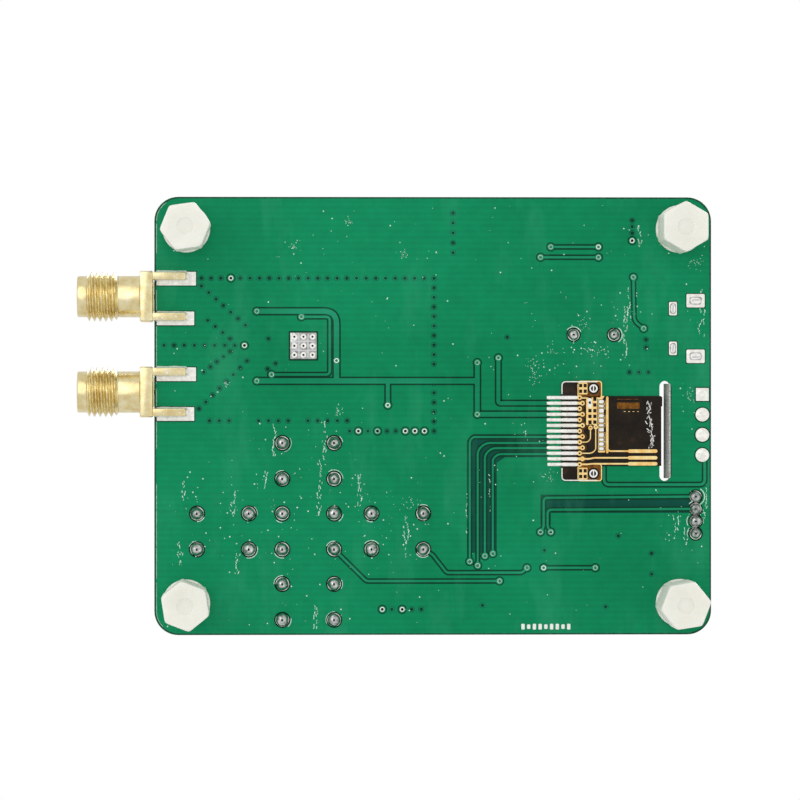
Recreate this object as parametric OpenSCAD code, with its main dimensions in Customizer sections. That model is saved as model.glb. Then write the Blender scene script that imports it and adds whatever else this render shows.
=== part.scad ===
// Bare-board radio-frequency instrument with two edge-launch coaxial jacks, a small
// display, a five-key pad and a USB inlet, standing on four hexagonal feet.
// Frame: +Z up with the component side on top, origin under the middle of the outline.
// Places on the board are given from the middle of the board, as [x, y].

/* [Board] */
// Length of the board along X
board_w = 70; // [70:0.5:74]
// Width of the board along Y
board_d = 55; // [55:0.5:58]
// Thickness of the board
board_t = 1.6; // [1.4:0.1:1.8]
// Radius of the board's corners
board_r = 3; // [1:0.5:4]
// Distance of the mounting holes from the board's edges
hole_inset = 4; // [3.6:0.1:4.2]
// Diameter of the mounting holes
hole_d = 3.2; // [3.1:0.1:3.6]

/* [Feet] */
// Height of a foot from the rest surface to the board
foot_h = 10; // [9:1:20]
// Hexagon size across flats
foot_af = 5.7; // [5.5:0.1:6]
// Diameter of the round collar where a foot meets the board
foot_collar_d = 6.3; // [6:0.1:6.6]
// Diameter of the nylon screw's head
screw_head_d = 5.5; // [5:0.1:6]
// Height of the nylon screw's head
screw_head_h = 2; // [1.5:0.1:2.5]

/* [Coaxial jacks] */
// Distance between the two jacks' axes
jack_pitch = 12; // [10:0.5:13]
// Place of the first jack's axis along Y
jack_1_y = 15; // [14:0.5:16]
// Reach of the jacks past the board's edge
jack_reach = 9.7; // [9.5:0.1:12]
// Outer diameter of the jack's thread
thread_d = 6.3; // [6.2:0.05:6.35]
// Length of the threaded part
thread_len = 3.85; // [3.5:0.05:4.5]
// Diameter of the plain nose and barrel
barrel_d = 5.2; // [5:0.1:5.6]
// Length of the plain nose in front of the thread
nose_len = 1.3; // [0.8:0.1:1.6]
// Side of the square flange
flange_w = 6.35; // [6:0.05:6.6]
// Thickness of the flange
flange_t = 1.6; // [1.4:0.1:2]

/* [Keys] */
// Side of a key's square case
key_w = 6; // [6:0.1:6.2]
// Height of a key's case, cover included
key_case_h = 3.5; // [3.5:0.1:4.3]
// Height of a key's plunger top above the board
key_top_h = 5; // [4.5:0.5:9.5]
// Diameter of the plunger
plunger_d = 3.5; // [3.3:0.1:3.6]
// Radial clearance between the plunger and its cover
plunger_gap = 0.06; // [0.04:0.01:0.09]
// Distance between a key's two rows of leads
key_lead_x = 6.5; // [6.5:0.1:6.7]
// Distance between the two leads of a row
key_lead_y = 4.5; // [4.4:0.1:4.6]

/* [Display] */
// Length of the display module along X
display_w = 27.95; // [27.5:0.05:28.2]
// Width of the display module along Y
display_d = 13.3; // [13:0.1:13.6]
// Width of the flex tail's neck
flex_neck_w = 8.8; // [8.4:0.1:9]
// Width of the flex tail's soldered head
flex_head_w = 12.6; // [12:0.1:12.8]
// Thickness of the flex tail
flex_t = 0.12; // [0.1:0.01:0.14]

/* [Hidden] */
KEYS = ["left", "right", "up", "down", "centre"];
KEY_PARTS = ["case", "cover", "dome", "plunger"];

round_fn = 64;
small_fn = 32;
eps = 0.01;

// Heights
board_z = foot_h;
top_z = foot_h + board_t;

// The jacks stick out at +X and nothing does at -X, so the board sits off centre
board_x = -jack_reach / 2;

// Key places and the pads of the through-hole parts
key_pad_x = 15.7;
key_pad_y = -14.5;
key_step_left = 11.2;
key_step_right = 10.7;
key_step_y = 8.85;
key_at = [
    [key_pad_x - key_step_left, key_pad_y],
    [key_pad_x + key_step_right, key_pad_y],
    [key_pad_x, key_pad_y + key_step_y],
    [key_pad_x, key_pad_y - key_step_y],
    [key_pad_x, key_pad_y]
];
key_hole_d = 1;
crystal_at = [-20.2, 10.2];
crystal_pitch = 5.08;
crystal_hole_d = 0.8;
spare_pads_at = [-33.9, 2.7];
spare_pitch = 2.54;
spare_count = 4;
spare_hole_d = 1;
spare_pad_r = 0.83;
spare_pad_t = 0.12;
header_at = [-33.05, -12.48];
header_pitch = 1.55;
header_count = 4;
header_hole_d = 0.8;

// USB inlet: its mouth is level with the board's -X edge
usb_y = 11;
usb_w = 7.5;
usb_h = 2.5;
usb_len = 5;
usb_wall = 0.25;
usb_x0 = -board_w / 2;
usb_front_tab_x = -33.05;
usb_front_tab_y = 3.6;
usb_rear_tab_x = -30.2;
usb_rear_tab_y = 2.5;
usb_front_slot = [1.73, 0.77];
usb_rear_slot = [0.48, 1.2];
usb_tab_clearance = 0.25;
usb_tab_drop = board_t + 0.1;
usb_inner = [usb_len, usb_w - 2 * usb_wall, usb_h - 2 * usb_wall];
usb_block_len = 1.4;
usb_tongue_len = 3.2;
usb_tongue_w = 3.9;
usb_tongue_t = 0.6;
usb_contact_count = 5;
usb_contact_pitch = 0.65;
usb_contact_w = 0.3;
usb_contact_t = 0.15;
usb_contact_out = 0.3;
usb_contact_foot = 0.7;

// Slot that the flex tail passes through
slot_x = -29.2;
slot_y = -1.9;
slot_w = 1.4;
slot_len = 12.6;

// Feet
foot_turn = [52, 30, 21, 51];
foot_at = [[1, 1], [-1, 1], [1, -1], [-1, -1]];
foot_collar_h = 0.8;
foot_chamfer = 0.35;
foot_dimple_d = 2.1;
foot_dimple_h = 0.2;
foot_bore_d = 3;
foot_bore_h = 6.5;
screw_d = 2.9;
screw_len = 6;
screw_slot_w = 0.9;
screw_slot_h = 1;

// Jacks: the centre contact lies on the component side
jack_y = [jack_1_y, jack_1_y - jack_pitch];
contact_tail_d = 0.76;
jack_z = top_z + contact_tail_d / 2;
jack_edge_gap = 0.2;
bore_front_d = 4.6;
bore_front_h = 1.9;
insulator_d = 4.1;
contact_d = 1.27;
contact_socket_d = 0.94;
contact_socket_h = 2.5;
contact_tail_len = 2.4;
leg_w = 0.94;
leg_h = 1;
leg_y = 2.55;
leg_reach = 3.9;
jack_pad_inset = 0.3;
jack_fillet_w = 0.3;
jack_fillet_h = 0.45;

// Key insides, measured up from the board's top
cover_t = 0.2;
cavity_d = 4.8;
cavity_z = 0.9;
dome_d = 4.6;
dome_rise = 0.35;
dome_t = 0.1;
nub_d = 2;
plunger_flange_d = 4.2;
plunger_flange_t = 0.7;
peg_d = 0.8;
peg_at = 2.35;
peg_head_h = 0.12;
lead_w = 0.7;
lead_t = 0.3;
lead_top = 1;
lead_stub = 0.3;
lead_drop = 1.1;
dome_solder_r = 0.83;
dome_solder_h = 0.95;
solder_tip_r = 0.42;

// Display stack, measured up from the board's top
tape_t = 0.3;
backlight_t = 1;
tray_floor = 0.5;
tray_wall = 0.5;
glass_t = 0.5;
ledge_w = 2;
display_gap = 0.5;
display_x0 = slot_x + slot_w / 2 + display_gap;
tape_inset = 1.2;
panel_gap = 0.05;
flex_drop_gap = 0.13;
flex_drop_x = slot_x + slot_w / 2 - flex_drop_gap - flex_t;
flex_bond = 1.1;
flex_off = 0.03;
head_x0 = -21.2;
head_x1 = -16.1;
finger_count = 13;
finger_pitch = 0.7;
finger_w = 0.43;
finger_x0 = -18.15;
finger_x1 = -14.3;
finger_t = 0.07;

// Crystal, header and chips
crystal_len = 11.05;
crystal_w = 4.65;
crystal_h = 3.4;
crystal_rim = 0.25;
crystal_rim_h = 0.4;
crystal_lead_d = 0.43;
thin_lead_drop = 0.8;
header_w = 3.5;
header_len = 7.5;
header_h = 4.3;
header_wall = 0.6;
header_floor = 1.2;
pin_w = 0.5;
pin_rise = 3.4;
thin_solder_r = 0.72;
thin_solder_h = 0.75;
thin_tip_r = 0.35;
rf_chip_at = [16.3, 8.8];
rf_chip_w = 5;
rf_chip_h = 0.85;
mark_d = 0.5;
mark_h = 0.05;
controller_at = [-11, -18.6];
controller_w = 7;
controller_h = 1.4;
controller_lift = 0.1;
gull_count = 12;
gull_pitch = 0.5;
gull_w = 0.22;
gull_t = 0.13;
gull_reach = 1;
gull_foot = 0.5;
gull_top = 0.8;
regulator_at = [[-14.5, 19.5], [-4.5, 19.5]];
regulator_w = 6.5;
regulator_d = 3.5;
regulator_h = 1.6;
regulator_lift = 0.06;
regulator_leg_pitch = 2.3;
regulator_leg_w = 0.7;
regulator_tab_w = 3;
regulator_leg_reach = 1.7;
regulator_leg_t = 0.25;
regulator_leg_z = 0.75;
oscillator_at = [4.2, 10.2];
oscillator_size = [5, 3.2, 1.1];
oscillator_lid_inset = 0.35;
oscillator_lid_h = 0.15;
chip_size = [1.6, 0.8, 0.8];
resistor_h = 0.45;
led_at = [-26.4, 22.4];
led_size = [2, 1.25, 0.8];

// Small chips: a place and a turn each
capacitor_at = [
    [10.9, 4.6, 0], [13.4, 4.6, 0], [21.6, 4.9, 90], [21.6, 12.6, 90],
    [11.2, 12.4, 90], [11.2, 9.6, 90], [13.6, 14.2, 0], [17.6, 14.2, 0],
    [23.8, 14.3, 90], [23.8, 3.7, 90], [26, 15, 0], [26, 3, 0],
    [8.8, 7, 90], [8.8, 10.2, 90], [-21.4, 19.5, 90], [-9.5, 14.6, 0],
    [-1, 14.6, 0], [-27, 5.9, 0], [-24.4, 16.4, 0], [-16.2, 14.6, 0],
    [-17.6, -13.2, 0], [-5.1, -13.2, 0], [-17.6, -23.6, 0], [-4.6, -23.6, 0]
];
resistor_at = [
    [19.6, 2.6, 0], [19.6, 16.4, 0], [13.6, 17.2, 0], [17, 17.2, 0],
    [-23.8, 21.4, 90], [-29, 17.6, 90], [-27, 17.6, 90], [-11.2, 12.4, 0],
    [3.8, -22.8, 90], [0.8, -19.4, 90], [0.8, -22.8, 90], [-21.6, -16, 90],
    [-21.6, -19, 90], [-21.6, -22, 90], [9.6, -7.2, 0], [9.6, -9, 0]
];

// The board's own frame, with its top or its underside at Z 0
module on_board(at = [0, 0], z = top_z)
    translate([board_x + at[0], at[1], z]) children();

// A box whose footprint is centred
module block(size) translate([-size[0] / 2, -size[1] / 2, 0]) cube(size);

// A rectangle with true round corners
module round_rect(w, d, r) {
    square([w - 2 * r, d], center = true);
    square([w, d - 2 * r], center = true);
    for (x = [-1, 1], y = [-1, 1])
        translate([x * (w / 2 - r), y * (d / 2 - r)]) circle(r = r, $fn = round_fn);
}

// A slot with round ends, along the longer side
module slot_2d(size) {
    w = min(size[0], size[1]);
    run = max(size[0], size[1]) - w;
    rotate(size[1] > size[0] ? 90 : 0) {
        square([run, w], center = true);
        for (s = [-1, 1]) translate([s * run / 2, 0]) circle(d = w, $fn = small_fn);
    }
}

// Children at each of a key's four leads
module at_key_leads(at)
    for (x = [-1, 1], y = [-1, 1])
        translate([at[0] + x * key_lead_x / 2, at[1] + y * key_lead_y / 2]) children();

module at_row(at, count, pitch)
    for (i = [0 : count - 1])
        translate([at[0], at[1] - (i - (count - 1) / 2) * pitch]) children();

module pcb_2d() {
    difference() {
        round_rect(board_w, board_d, board_r);
        for (s = foot_at)
            translate([s[0] * (board_w / 2 - hole_inset), s[1] * (board_d / 2 - hole_inset)])
                circle(d = hole_d, $fn = round_fn);
        translate([slot_x, slot_y]) slot_2d([slot_w, slot_len]);
        for (k = key_at) at_key_leads(k) circle(d = key_hole_d, $fn = small_fn);
        for (s = [-1, 1])
            translate([crystal_at[0] + s * crystal_pitch / 2, crystal_at[1]])
                circle(d = crystal_hole_d, $fn = small_fn);
        at_row([spare_pads_at[0], spare_pads_at[1] - 1.5 * spare_pitch], spare_count, spare_pitch)
            circle(d = spare_hole_d, $fn = small_fn);
        at_row(header_at, header_count, header_pitch) circle(d = header_hole_d, $fn = small_fn);
        for (s = [-1, 1]) {
            translate([usb_front_tab_x, usb_y + s * usb_front_tab_y]) slot_2d(usb_front_slot);
            translate([usb_rear_tab_x, usb_y + s * usb_rear_tab_y]) slot_2d(usb_rear_slot);
        }
    }
}

module pcb()
    color([0.09, 0.51, 0.34])
        on_board(z = board_z) linear_extrude(board_t) pcb_2d();

// Moulded nylon foot: a hexagon with a round collar, bored from the board's side
module foot(i) {
    s = foot_at[i];
    vertex_d = foot_af / cos(30);
    color([0.93, 0.92, 0.88])
        on_board([s[0] * (board_w / 2 - hole_inset), s[1] * (board_d / 2 - hole_inset)], 0)
            difference() {
                union() {
                    intersection() {
                        rotate(foot_turn[i]) cylinder(d = vertex_d, h = foot_h, $fn = 6);
                        rotate_extrude($fn = round_fn)
                            polygon([
                                [0, 0], [vertex_d / 2 - foot_chamfer, 0],
                                [vertex_d / 2, foot_chamfer], [vertex_d / 2, foot_h], [0, foot_h]
                            ]);
                    }
                    translate([0, 0, foot_h - foot_collar_h])
                        cylinder(d = foot_collar_d, h = foot_collar_h, $fn = round_fn);
                }
                translate([0, 0, -eps])
                    cylinder(d = foot_dimple_d, h = foot_dimple_h + eps, $fn = small_fn);
                translate([0, 0, foot_h - foot_bore_h])
                    cylinder(d = foot_bore_d, h = foot_bore_h + eps, $fn = small_fn);
            }
}

module corner_screws()
    color([0.93, 0.92, 0.88])
        for (s = foot_at)
            on_board([s[0] * (board_w / 2 - hole_inset), s[1] * (board_d / 2 - hole_inset)])
                difference() {
                    union() {
                        cylinder(d = screw_head_d, h = screw_head_h, $fn = round_fn);
                        translate([0, 0, -board_t - screw_len])
                            cylinder(d = screw_d, h = board_t + screw_len + eps, $fn = small_fn);
                    }
                    translate([-screw_head_d, -screw_slot_w / 2, screw_head_h - screw_slot_h])
                        cube([2 * screw_head_d, screw_slot_w, screw_head_h]);
                }

// Jack parts point along +X from the board's edge
module at_jack(i)
    translate([board_x + board_w / 2, jack_y[i], jack_z]) rotate([0, 90, 0]) children();

module jack_shell(i) {
    barrel_z = jack_edge_gap + flange_t;
    thread_z = jack_reach - nose_len - thread_len;
    color([0.85, 0.70, 0.36]) {
        difference() {
            at_jack(i) {
                translate([-flange_w / 2, -flange_w / 2, jack_edge_gap])
                    cube([flange_w, flange_w, flange_t]);
                translate([0, 0, barrel_z - eps])
                    cylinder(d = barrel_d, h = jack_reach - barrel_z + eps, $fn = round_fn);
                translate([0, 0, thread_z])
                    cylinder(d = thread_d, h = thread_len, $fn = round_fn);
            }
            at_jack(i) {
                translate([0, 0, -jack_edge_gap])
                    cylinder(d = insulator_d, h = 2 * jack_reach, $fn = round_fn);
                translate([0, 0, jack_reach - bore_front_h])
                    cylinder(d = bore_front_d, h = bore_front_h + eps, $fn = round_fn);
            }
        }
        for (y = [-1, 1], z = [board_z - leg_h, top_z])
            translate([
                board_x + board_w / 2 - leg_reach, jack_y[i] + y * leg_y - leg_w / 2, z
            ])
                cube([leg_reach + jack_edge_gap + eps, leg_w, leg_h]);
    }
}

module jack_insulator(i)
    color([0.95, 0.94, 0.90])
        at_jack(i)
            difference() {
                translate([0, 0, jack_edge_gap])
                    cylinder(
                        d = insulator_d, h = jack_reach - bore_front_h - jack_edge_gap,
                        $fn = round_fn
                    );
                cylinder(d = contact_d, h = jack_reach, $fn = small_fn);
            }

module jack_contact(i)
    color([0.85, 0.70, 0.36])
        at_jack(i)
            difference() {
                union() {
                    translate([0, 0, jack_edge_gap])
                        cylinder(
                            d = contact_d, h = jack_reach - bore_front_h - jack_edge_gap,
                            $fn = small_fn
                        );
                    translate([0, 0, -contact_tail_len])
                        cylinder(
                            d = contact_tail_d, h = contact_tail_len + jack_edge_gap + eps,
                            $fn = small_fn
                        );
                }
                translate([0, 0, jack_reach - bore_front_h - contact_socket_h])
                    cylinder(d = contact_socket_d, h = jack_reach, $fn = small_fn);
            }

// Solder beside each lower leg, drawn as a wedge from the leg's side down to the board
module jack_solder()
    color([0.80, 0.80, 0.78])
        for (j = [0, 1], y = [-1, 1], s = [-1, 1])
            translate([board_x + board_w / 2 - leg_reach, jack_y[j] + y * leg_y, board_z])
                rotate([90, 0, 90])
                    linear_extrude(leg_reach - jack_pad_inset)
                        polygon([
                            [s * leg_w / 2, 0], [s * (leg_w / 2 + jack_fillet_w), 0],
                            [s * leg_w / 2, -jack_fillet_h]
                        ]);

// Display: two glasses in a tray that is taped to the board
module display_box(x0, w, d, h)
    translate([x0, slot_y - d / 2, 0]) cube([w, d, h]);

module display_tape()
    color([0.12, 0.12, 0.12])
        on_board()
            display_box(
                display_x0 + tape_inset, display_w - 2 * tape_inset,
                display_d - 2 * tape_inset, tape_t
            );

module display_backlight()
    color([0.92, 0.92, 0.92])
        on_board(z = top_z + tape_t)
            difference() {
                display_box(display_x0, display_w, display_d, backlight_t);
                translate([0, 0, tray_floor])
                    display_box(
                        display_x0 + tray_wall, display_w - 2 * tray_wall,
                        display_d - 2 * tray_wall, backlight_t
                    );
            }

module display_panel() {
    inset = tray_wall + panel_gap;
    color([0.05, 0.05, 0.06])
        on_board(z = top_z + tape_t + tray_floor) {
            display_box(
                display_x0 + inset, display_w - 2 * inset, display_d - 2 * inset, glass_t
            );
            translate([0, 0, glass_t - eps])
                display_box(
                    display_x0 + inset + ledge_w, display_w - 2 * inset - ledge_w,
                    display_d - 2 * inset, glass_t + eps
                );
        }
}

// Flex tail: off the glass ledge, down through the slot and back under the board
module display_flex() {
    ledge_z = tape_t + tray_floor + glass_t;
    low_z = -board_t - flex_off - flex_t;
    bond_x = display_x0 + tray_wall + panel_gap + flex_bond;
    color([0.18, 0.13, 0.07])
        on_board() translate([0, slot_y, 0]) {
            translate([flex_drop_x, -flex_neck_w / 2, ledge_z])
                cube([bond_x - flex_drop_x, flex_neck_w, flex_t]);
            translate([flex_drop_x, -flex_neck_w / 2, low_z])
                cube([flex_t, flex_neck_w, ledge_z + flex_t - low_z]);
            translate([flex_drop_x, -flex_neck_w / 2, low_z])
                cube([head_x0 - flex_drop_x + eps, flex_neck_w, flex_t]);
            translate([head_x0, -flex_head_w / 2, low_z])
                cube([head_x1 - head_x0, flex_head_w, flex_t]);
        }
}

module flex_solder()
    color([0.80, 0.80, 0.78])
        on_board(z = board_z)
            at_row([0, slot_y], finger_count, finger_pitch) {
                low_z = -flex_off - flex_t - finger_t;
                translate([head_x1, -finger_w / 2, low_z])
                    cube([finger_x1 - head_x1, finger_w, -low_z]);
                translate([finger_x0, -finger_w / 2, low_z])
                    cube([head_x1 - finger_x0 + eps, finger_w, finger_t]);
            }

// Keys
module key_case(at)
    color([0.08, 0.08, 0.08])
        on_board(at) {
            difference() {
                block([key_w, key_w, key_case_h - cover_t]);
                translate([0, 0, cavity_z]) cylinder(d = cavity_d, h = key_case_h, $fn = round_fn);
            }
            for (x = [-1, 1], y = [-1, 1])
                translate([x * peg_at, y * peg_at, key_case_h - cover_t - eps])
                    cylinder(d = peg_d, h = cover_t + peg_head_h + eps, $fn = small_fn);
        }

module key_cover(at)
    color([0.75, 0.75, 0.76])
        on_board(at, top_z + key_case_h - cover_t)
            linear_extrude(cover_t)
                difference() {
                    square(key_w, center = true);
                    circle(d = plunger_d + 2 * plunger_gap, $fn = round_fn);
                    for (x = [-1, 1], y = [-1, 1])
                        translate([x * peg_at, y * peg_at]) circle(d = peg_d, $fn = small_fn);
                }

// A snap dome: a shallow cone shell that the plunger pushes flat
module key_dome(at)
    color([0.78, 0.78, 0.80])
        on_board(at, top_z + cavity_z)
            rotate_extrude($fn = round_fn)
                polygon([
                    [dome_d / 2, 0], [dome_d / 2, dome_t], [nub_d / 2, dome_rise],
                    [0, dome_rise], [0, dome_rise - dome_t], [nub_d / 2, dome_rise - dome_t],
                    [dome_d / 2 - dome_t, 0]
                ]);

module key_plunger(at) {
    under = key_case_h - cover_t;
    color([0.10, 0.10, 0.10])
        on_board(at) {
            translate([0, 0, cavity_z + dome_rise])
                cylinder(
                    d = nub_d, h = under - cavity_z - dome_rise - plunger_flange_t + eps,
                    $fn = round_fn
                );
            translate([0, 0, under - plunger_flange_t])
                cylinder(d = plunger_flange_d, h = plunger_flange_t, $fn = round_fn);
            translate([0, 0, under - eps])
                cylinder(d = plunger_d, h = key_top_h - under + eps, $fn = round_fn);
        }
}

// A lead runs down beside the case and through the board
module key_lead(side) {
    translate([-lead_t / 2, -lead_w / 2, -board_t - lead_drop])
        cube([lead_t, lead_w, lead_top + board_t + lead_drop]);
    reach = (key_lead_x - key_w) / 2;
    translate([side > 0 ? -reach : 0, -lead_w / 2, lead_top - lead_stub])
        cube([reach, lead_w, lead_stub]);
}

module key_terminals()
    color([0.80, 0.80, 0.78])
        for (k = key_at, x = [-1, 1], y = [-1, 1])
            on_board([k[0] + x * key_lead_x / 2, k[1] + y * key_lead_y / 2]) key_lead(x);

// A solder joint under the board: concave cone with a round tip, drawn upside down
module solder_joint(r, tip_r, h)
    mirror([0, 0, 1])
        rotate_extrude($fn = small_fn)
            polygon([
                [0, 0], [r, 0], [r * 0.86, h * 0.28], [tip_r * 1.35, h * 0.72],
                [tip_r, h * 0.92], [tip_r * 0.5, h], [0, h]
            ]);

module key_solder()
    color([0.80, 0.80, 0.78])
        for (k = key_at)
            on_board(z = board_z)
                at_key_leads(k)
                    difference() {
                        solder_joint(dome_solder_r, solder_tip_r, dome_solder_h);
                        translate([-lead_t / 2, -lead_w / 2, -2 * lead_drop])
                            cube([lead_t, lead_w, 4 * lead_drop]);
                    }

// USB inlet
module usb_tabs() {
    front = [usb_front_slot[0] - usb_tab_clearance, usb_wall];
    rear = [usb_wall, usb_rear_slot[1] - usb_tab_clearance];
    for (s = [-1, 1]) {
        translate([usb_front_tab_x, usb_y + s * (usb_w - usb_wall) / 2, -usb_tab_drop])
            block([front[0], front[1], usb_tab_drop + eps]);
        translate([usb_x0 + usb_len - usb_wall / 2, usb_y + s * usb_rear_tab_y, -usb_tab_drop])
            block([rear[0], rear[1], usb_tab_drop + usb_h]);
    }
}

module usb_shell()
    color([0.80, 0.80, 0.82])
        on_board() {
            difference() {
                translate([usb_x0, usb_y - usb_w / 2, 0]) cube([usb_len, usb_w, usb_h]);
                translate([usb_x0 - eps, usb_y - usb_inner[1] / 2, usb_wall])
                    cube([usb_inner[0] + 2 * eps, usb_inner[1], usb_inner[2]]);
            }
            usb_tabs();
        }

// The contact's side view: along the tongue, out at the back and down to the board
module usb_contact_2d() {
    strip_z = usb_h / 2 - usb_tongue_t / 2 - usb_contact_t;
    tail_x = usb_x0 + usb_len + usb_contact_out;
    tip_x = tail_x - usb_wall - usb_block_len - usb_tongue_len;
    translate([tip_x, strip_z]) square([tail_x - tip_x, usb_contact_t]);
    translate([tail_x - usb_contact_t, 0]) square([usb_contact_t, strip_z + usb_contact_t]);
    translate([tail_x - usb_contact_t, 0]) square([usb_contact_foot, usb_contact_t]);
}

module usb_contacts()
    color([0.85, 0.70, 0.36])
        on_board([0, usb_y])
            at_row([0, 0], usb_contact_count, usb_contact_pitch)
                translate([0, usb_contact_w / 2, 0])
                    rotate([90, 0, 0]) linear_extrude(usb_contact_w) usb_contact_2d();

module usb_tongue() {
    block_x1 = usb_x0 + usb_len - usb_wall;
    color([0.06, 0.06, 0.06])
        on_board([0, usb_y])
            difference() {
                union() {
                    translate([block_x1 - usb_block_len, -usb_inner[1] / 2, usb_wall])
                        cube([usb_block_len, usb_inner[1], usb_inner[2]]);
                    translate([
                        block_x1 - usb_block_len - usb_tongue_len,
                        -usb_tongue_w / 2, (usb_h - usb_tongue_t) / 2
                    ])
                        cube([usb_tongue_len + eps, usb_tongue_w, usb_tongue_t]);
                }
                at_row([0, 0], usb_contact_count, usb_contact_pitch)
                    translate([usb_x0, -usb_contact_w / 2, usb_h / 2 - usb_tongue_t / 2 - usb_contact_t])
                        cube([usb_len + 1, usb_contact_w, usb_contact_t]);
            }
}

// Crystal in a drawn can, standing on the board
module crystal_can()
    color([0.78, 0.78, 0.80])
        on_board(crystal_at) {
            linear_extrude(crystal_rim_h)
                slot_2d([crystal_len, crystal_w]);
            linear_extrude(crystal_h)
                slot_2d([crystal_len - 2 * crystal_rim, crystal_w - 2 * crystal_rim]);
        }

module crystal_leads()
    color([0.80, 0.80, 0.78])
        for (s = [-1, 1])
            on_board([crystal_at[0] + s * crystal_pitch / 2, crystal_at[1]])
                translate([0, 0, -board_t - thin_lead_drop])
                    cylinder(d = crystal_lead_d, h = board_t + thin_lead_drop, $fn = small_fn);

// Four-way header at the -X edge, open at the top
module side_header_housing()
    color([0.93, 0.91, 0.85])
        on_board(header_at)
            difference() {
                block([header_w, header_len, header_h]);
                translate([0, 0, header_floor])
                    block([header_w - 2 * header_wall, header_len - 2 * header_wall, header_h]);
                at_row([0, 0], header_count, header_pitch)
                    translate([0, 0, -eps]) block([pin_w, pin_w, header_h]);
            }

module side_header_pins()
    color([0.80, 0.80, 0.78])
        on_board()
            at_row(header_at, header_count, header_pitch)
                translate([0, 0, -board_t - thin_lead_drop])
                    block([pin_w, pin_w, board_t + thin_lead_drop + pin_rise]);

// Joints of the crystal and the header, and the four filled spare pads
module lead_solder()
    color([0.80, 0.80, 0.78])
        on_board(z = board_z) {
            for (s = [-1, 1])
                translate([crystal_at[0] + s * crystal_pitch / 2, crystal_at[1]])
                    difference() {
                        solder_joint(thin_solder_r, thin_tip_r, thin_solder_h);
                        translate([0, 0, -2])
                            cylinder(d = crystal_lead_d, h = 4, $fn = small_fn);
                    }
            at_row(header_at, header_count, header_pitch)
                difference() {
                    solder_joint(thin_solder_r, thin_tip_r, thin_solder_h);
                    translate([0, 0, -2]) block([pin_w, pin_w, 4]);
                }
            at_row([spare_pads_at[0], spare_pads_at[1] - 1.5 * spare_pitch], spare_count, spare_pitch)
                translate([0, 0, -spare_pad_t])
                    cylinder(r = spare_pad_r, h = spare_pad_t, $fn = small_fn);
        }

// Flat package with a round mark at its first pin
module rf_chip()
    color([0.10, 0.10, 0.11])
        on_board(rf_chip_at)
            difference() {
                block([rf_chip_w, rf_chip_w, rf_chip_h]);
                translate([-rf_chip_w / 2 + mark_d, rf_chip_w / 2 - mark_d, rf_chip_h - mark_h])
                    cylinder(d = mark_d, h = 1, $fn = small_fn);
            }

module controller_body()
    color([0.10, 0.10, 0.11])
        on_board(controller_at, top_z + controller_lift)
            difference() {
                block([controller_w, controller_w, controller_h]);
                translate([
                    -controller_w / 2 + 2 * mark_d, controller_w / 2 - 2 * mark_d,
                    controller_h - mark_h
                ])
                    cylinder(d = 2 * mark_d, h = 1, $fn = small_fn);
            }

// Gull-wing lead in side view, from the body's side at X 0 out to its foot
module gull_2d(reach, foot, top, t)
    polygon([
        [0, top], [0, top + t], [reach - foot, top + t], [reach - foot + t, t],
        [reach, t], [reach, 0], [reach - foot, 0], [reach - foot - t, top]
    ]);

module controller_leads()
    color([0.80, 0.80, 0.78])
        on_board(controller_at)
            for (turn = [0 : 90 : 270])
                rotate(turn)
                    at_row([controller_w / 2, 0], gull_count, gull_pitch)
                        translate([0, gull_w / 2, 0])
                            rotate([90, 0, 0])
                                linear_extrude(gull_w)
                                    gull_2d(gull_reach, gull_foot, gull_top, gull_t);

module regulator_bodies()
    color([0.10, 0.10, 0.11])
        for (at = regulator_at)
            on_board(at, top_z + regulator_lift)
                block([regulator_w, regulator_d, regulator_h]);

// A regulator's lead of the given width, bent down along +Y from the body's side
module regulator_lead(width)
    translate([-width / 2, regulator_d / 2, 0])
        rotate([90, 0, 90])
            linear_extrude(width)
                gull_2d(
                    regulator_leg_reach, regulator_leg_reach / 2,
                    regulator_leg_z, regulator_leg_t
                );

// Three legs on one side and the wide cooling tab on the other
module regulator_leads()
    color([0.80, 0.80, 0.78])
        for (at = regulator_at)
            on_board(at) {
                regulator_lead(regulator_tab_w);
                for (i = [-1 : 1])
                    rotate(180)
                        translate([i * regulator_leg_pitch, 0, 0])
                            regulator_lead(regulator_leg_w);
            }

module reference_oscillator()
    color([0.78, 0.76, 0.70])
        on_board(oscillator_at) {
            block([
                oscillator_size[0], oscillator_size[1], oscillator_size[2] - oscillator_lid_h
            ]);
            block([
                oscillator_size[0] - 2 * oscillator_lid_inset,
                oscillator_size[1] - 2 * oscillator_lid_inset, oscillator_size[2]
            ]);
        }

module at_chips(places)
    for (c = places) on_board([c[0], c[1]]) rotate(c[2]) children();

module chip_capacitors()
    color([0.62, 0.50, 0.38]) at_chips(capacitor_at) block(chip_size);

module chip_resistors()
    color([0.10, 0.10, 0.11])
        at_chips(resistor_at) block([chip_size[0], chip_size[1], resistor_h]);

module status_light()
    color([0.90, 0.95, 0.90]) on_board(led_at) block(led_size);

pcb();
for (i = [0 : 3])
    foot(i);
corner_screws();
for (i = [0, 1]) {
    jack_shell(i);
    jack_insulator(i);
    jack_contact(i);
}
jack_solder();
display_panel();
display_backlight();
display_tape();
display_flex();
flex_solder();
for (i = [0 : len(KEYS) - 1]) {
    key_case(key_at[i]);
    key_cover(key_at[i]);
    key_dome(key_at[i]);
    key_plunger(key_at[i]);
}
key_terminals();
key_solder();
usb_shell();
usb_tongue();
usb_contacts();
crystal_can();
crystal_leads();
side_header_housing();
side_header_pins();
lead_solder();
rf_chip();
controller_body();
controller_leads();
regulator_bodies();
regulator_leads();
reference_oscillator();
chip_capacitors();
chip_resistors();
status_light();
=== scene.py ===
import math
import random

import bmesh
import bpy
from mathutils import Matrix, Vector, noise


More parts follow.
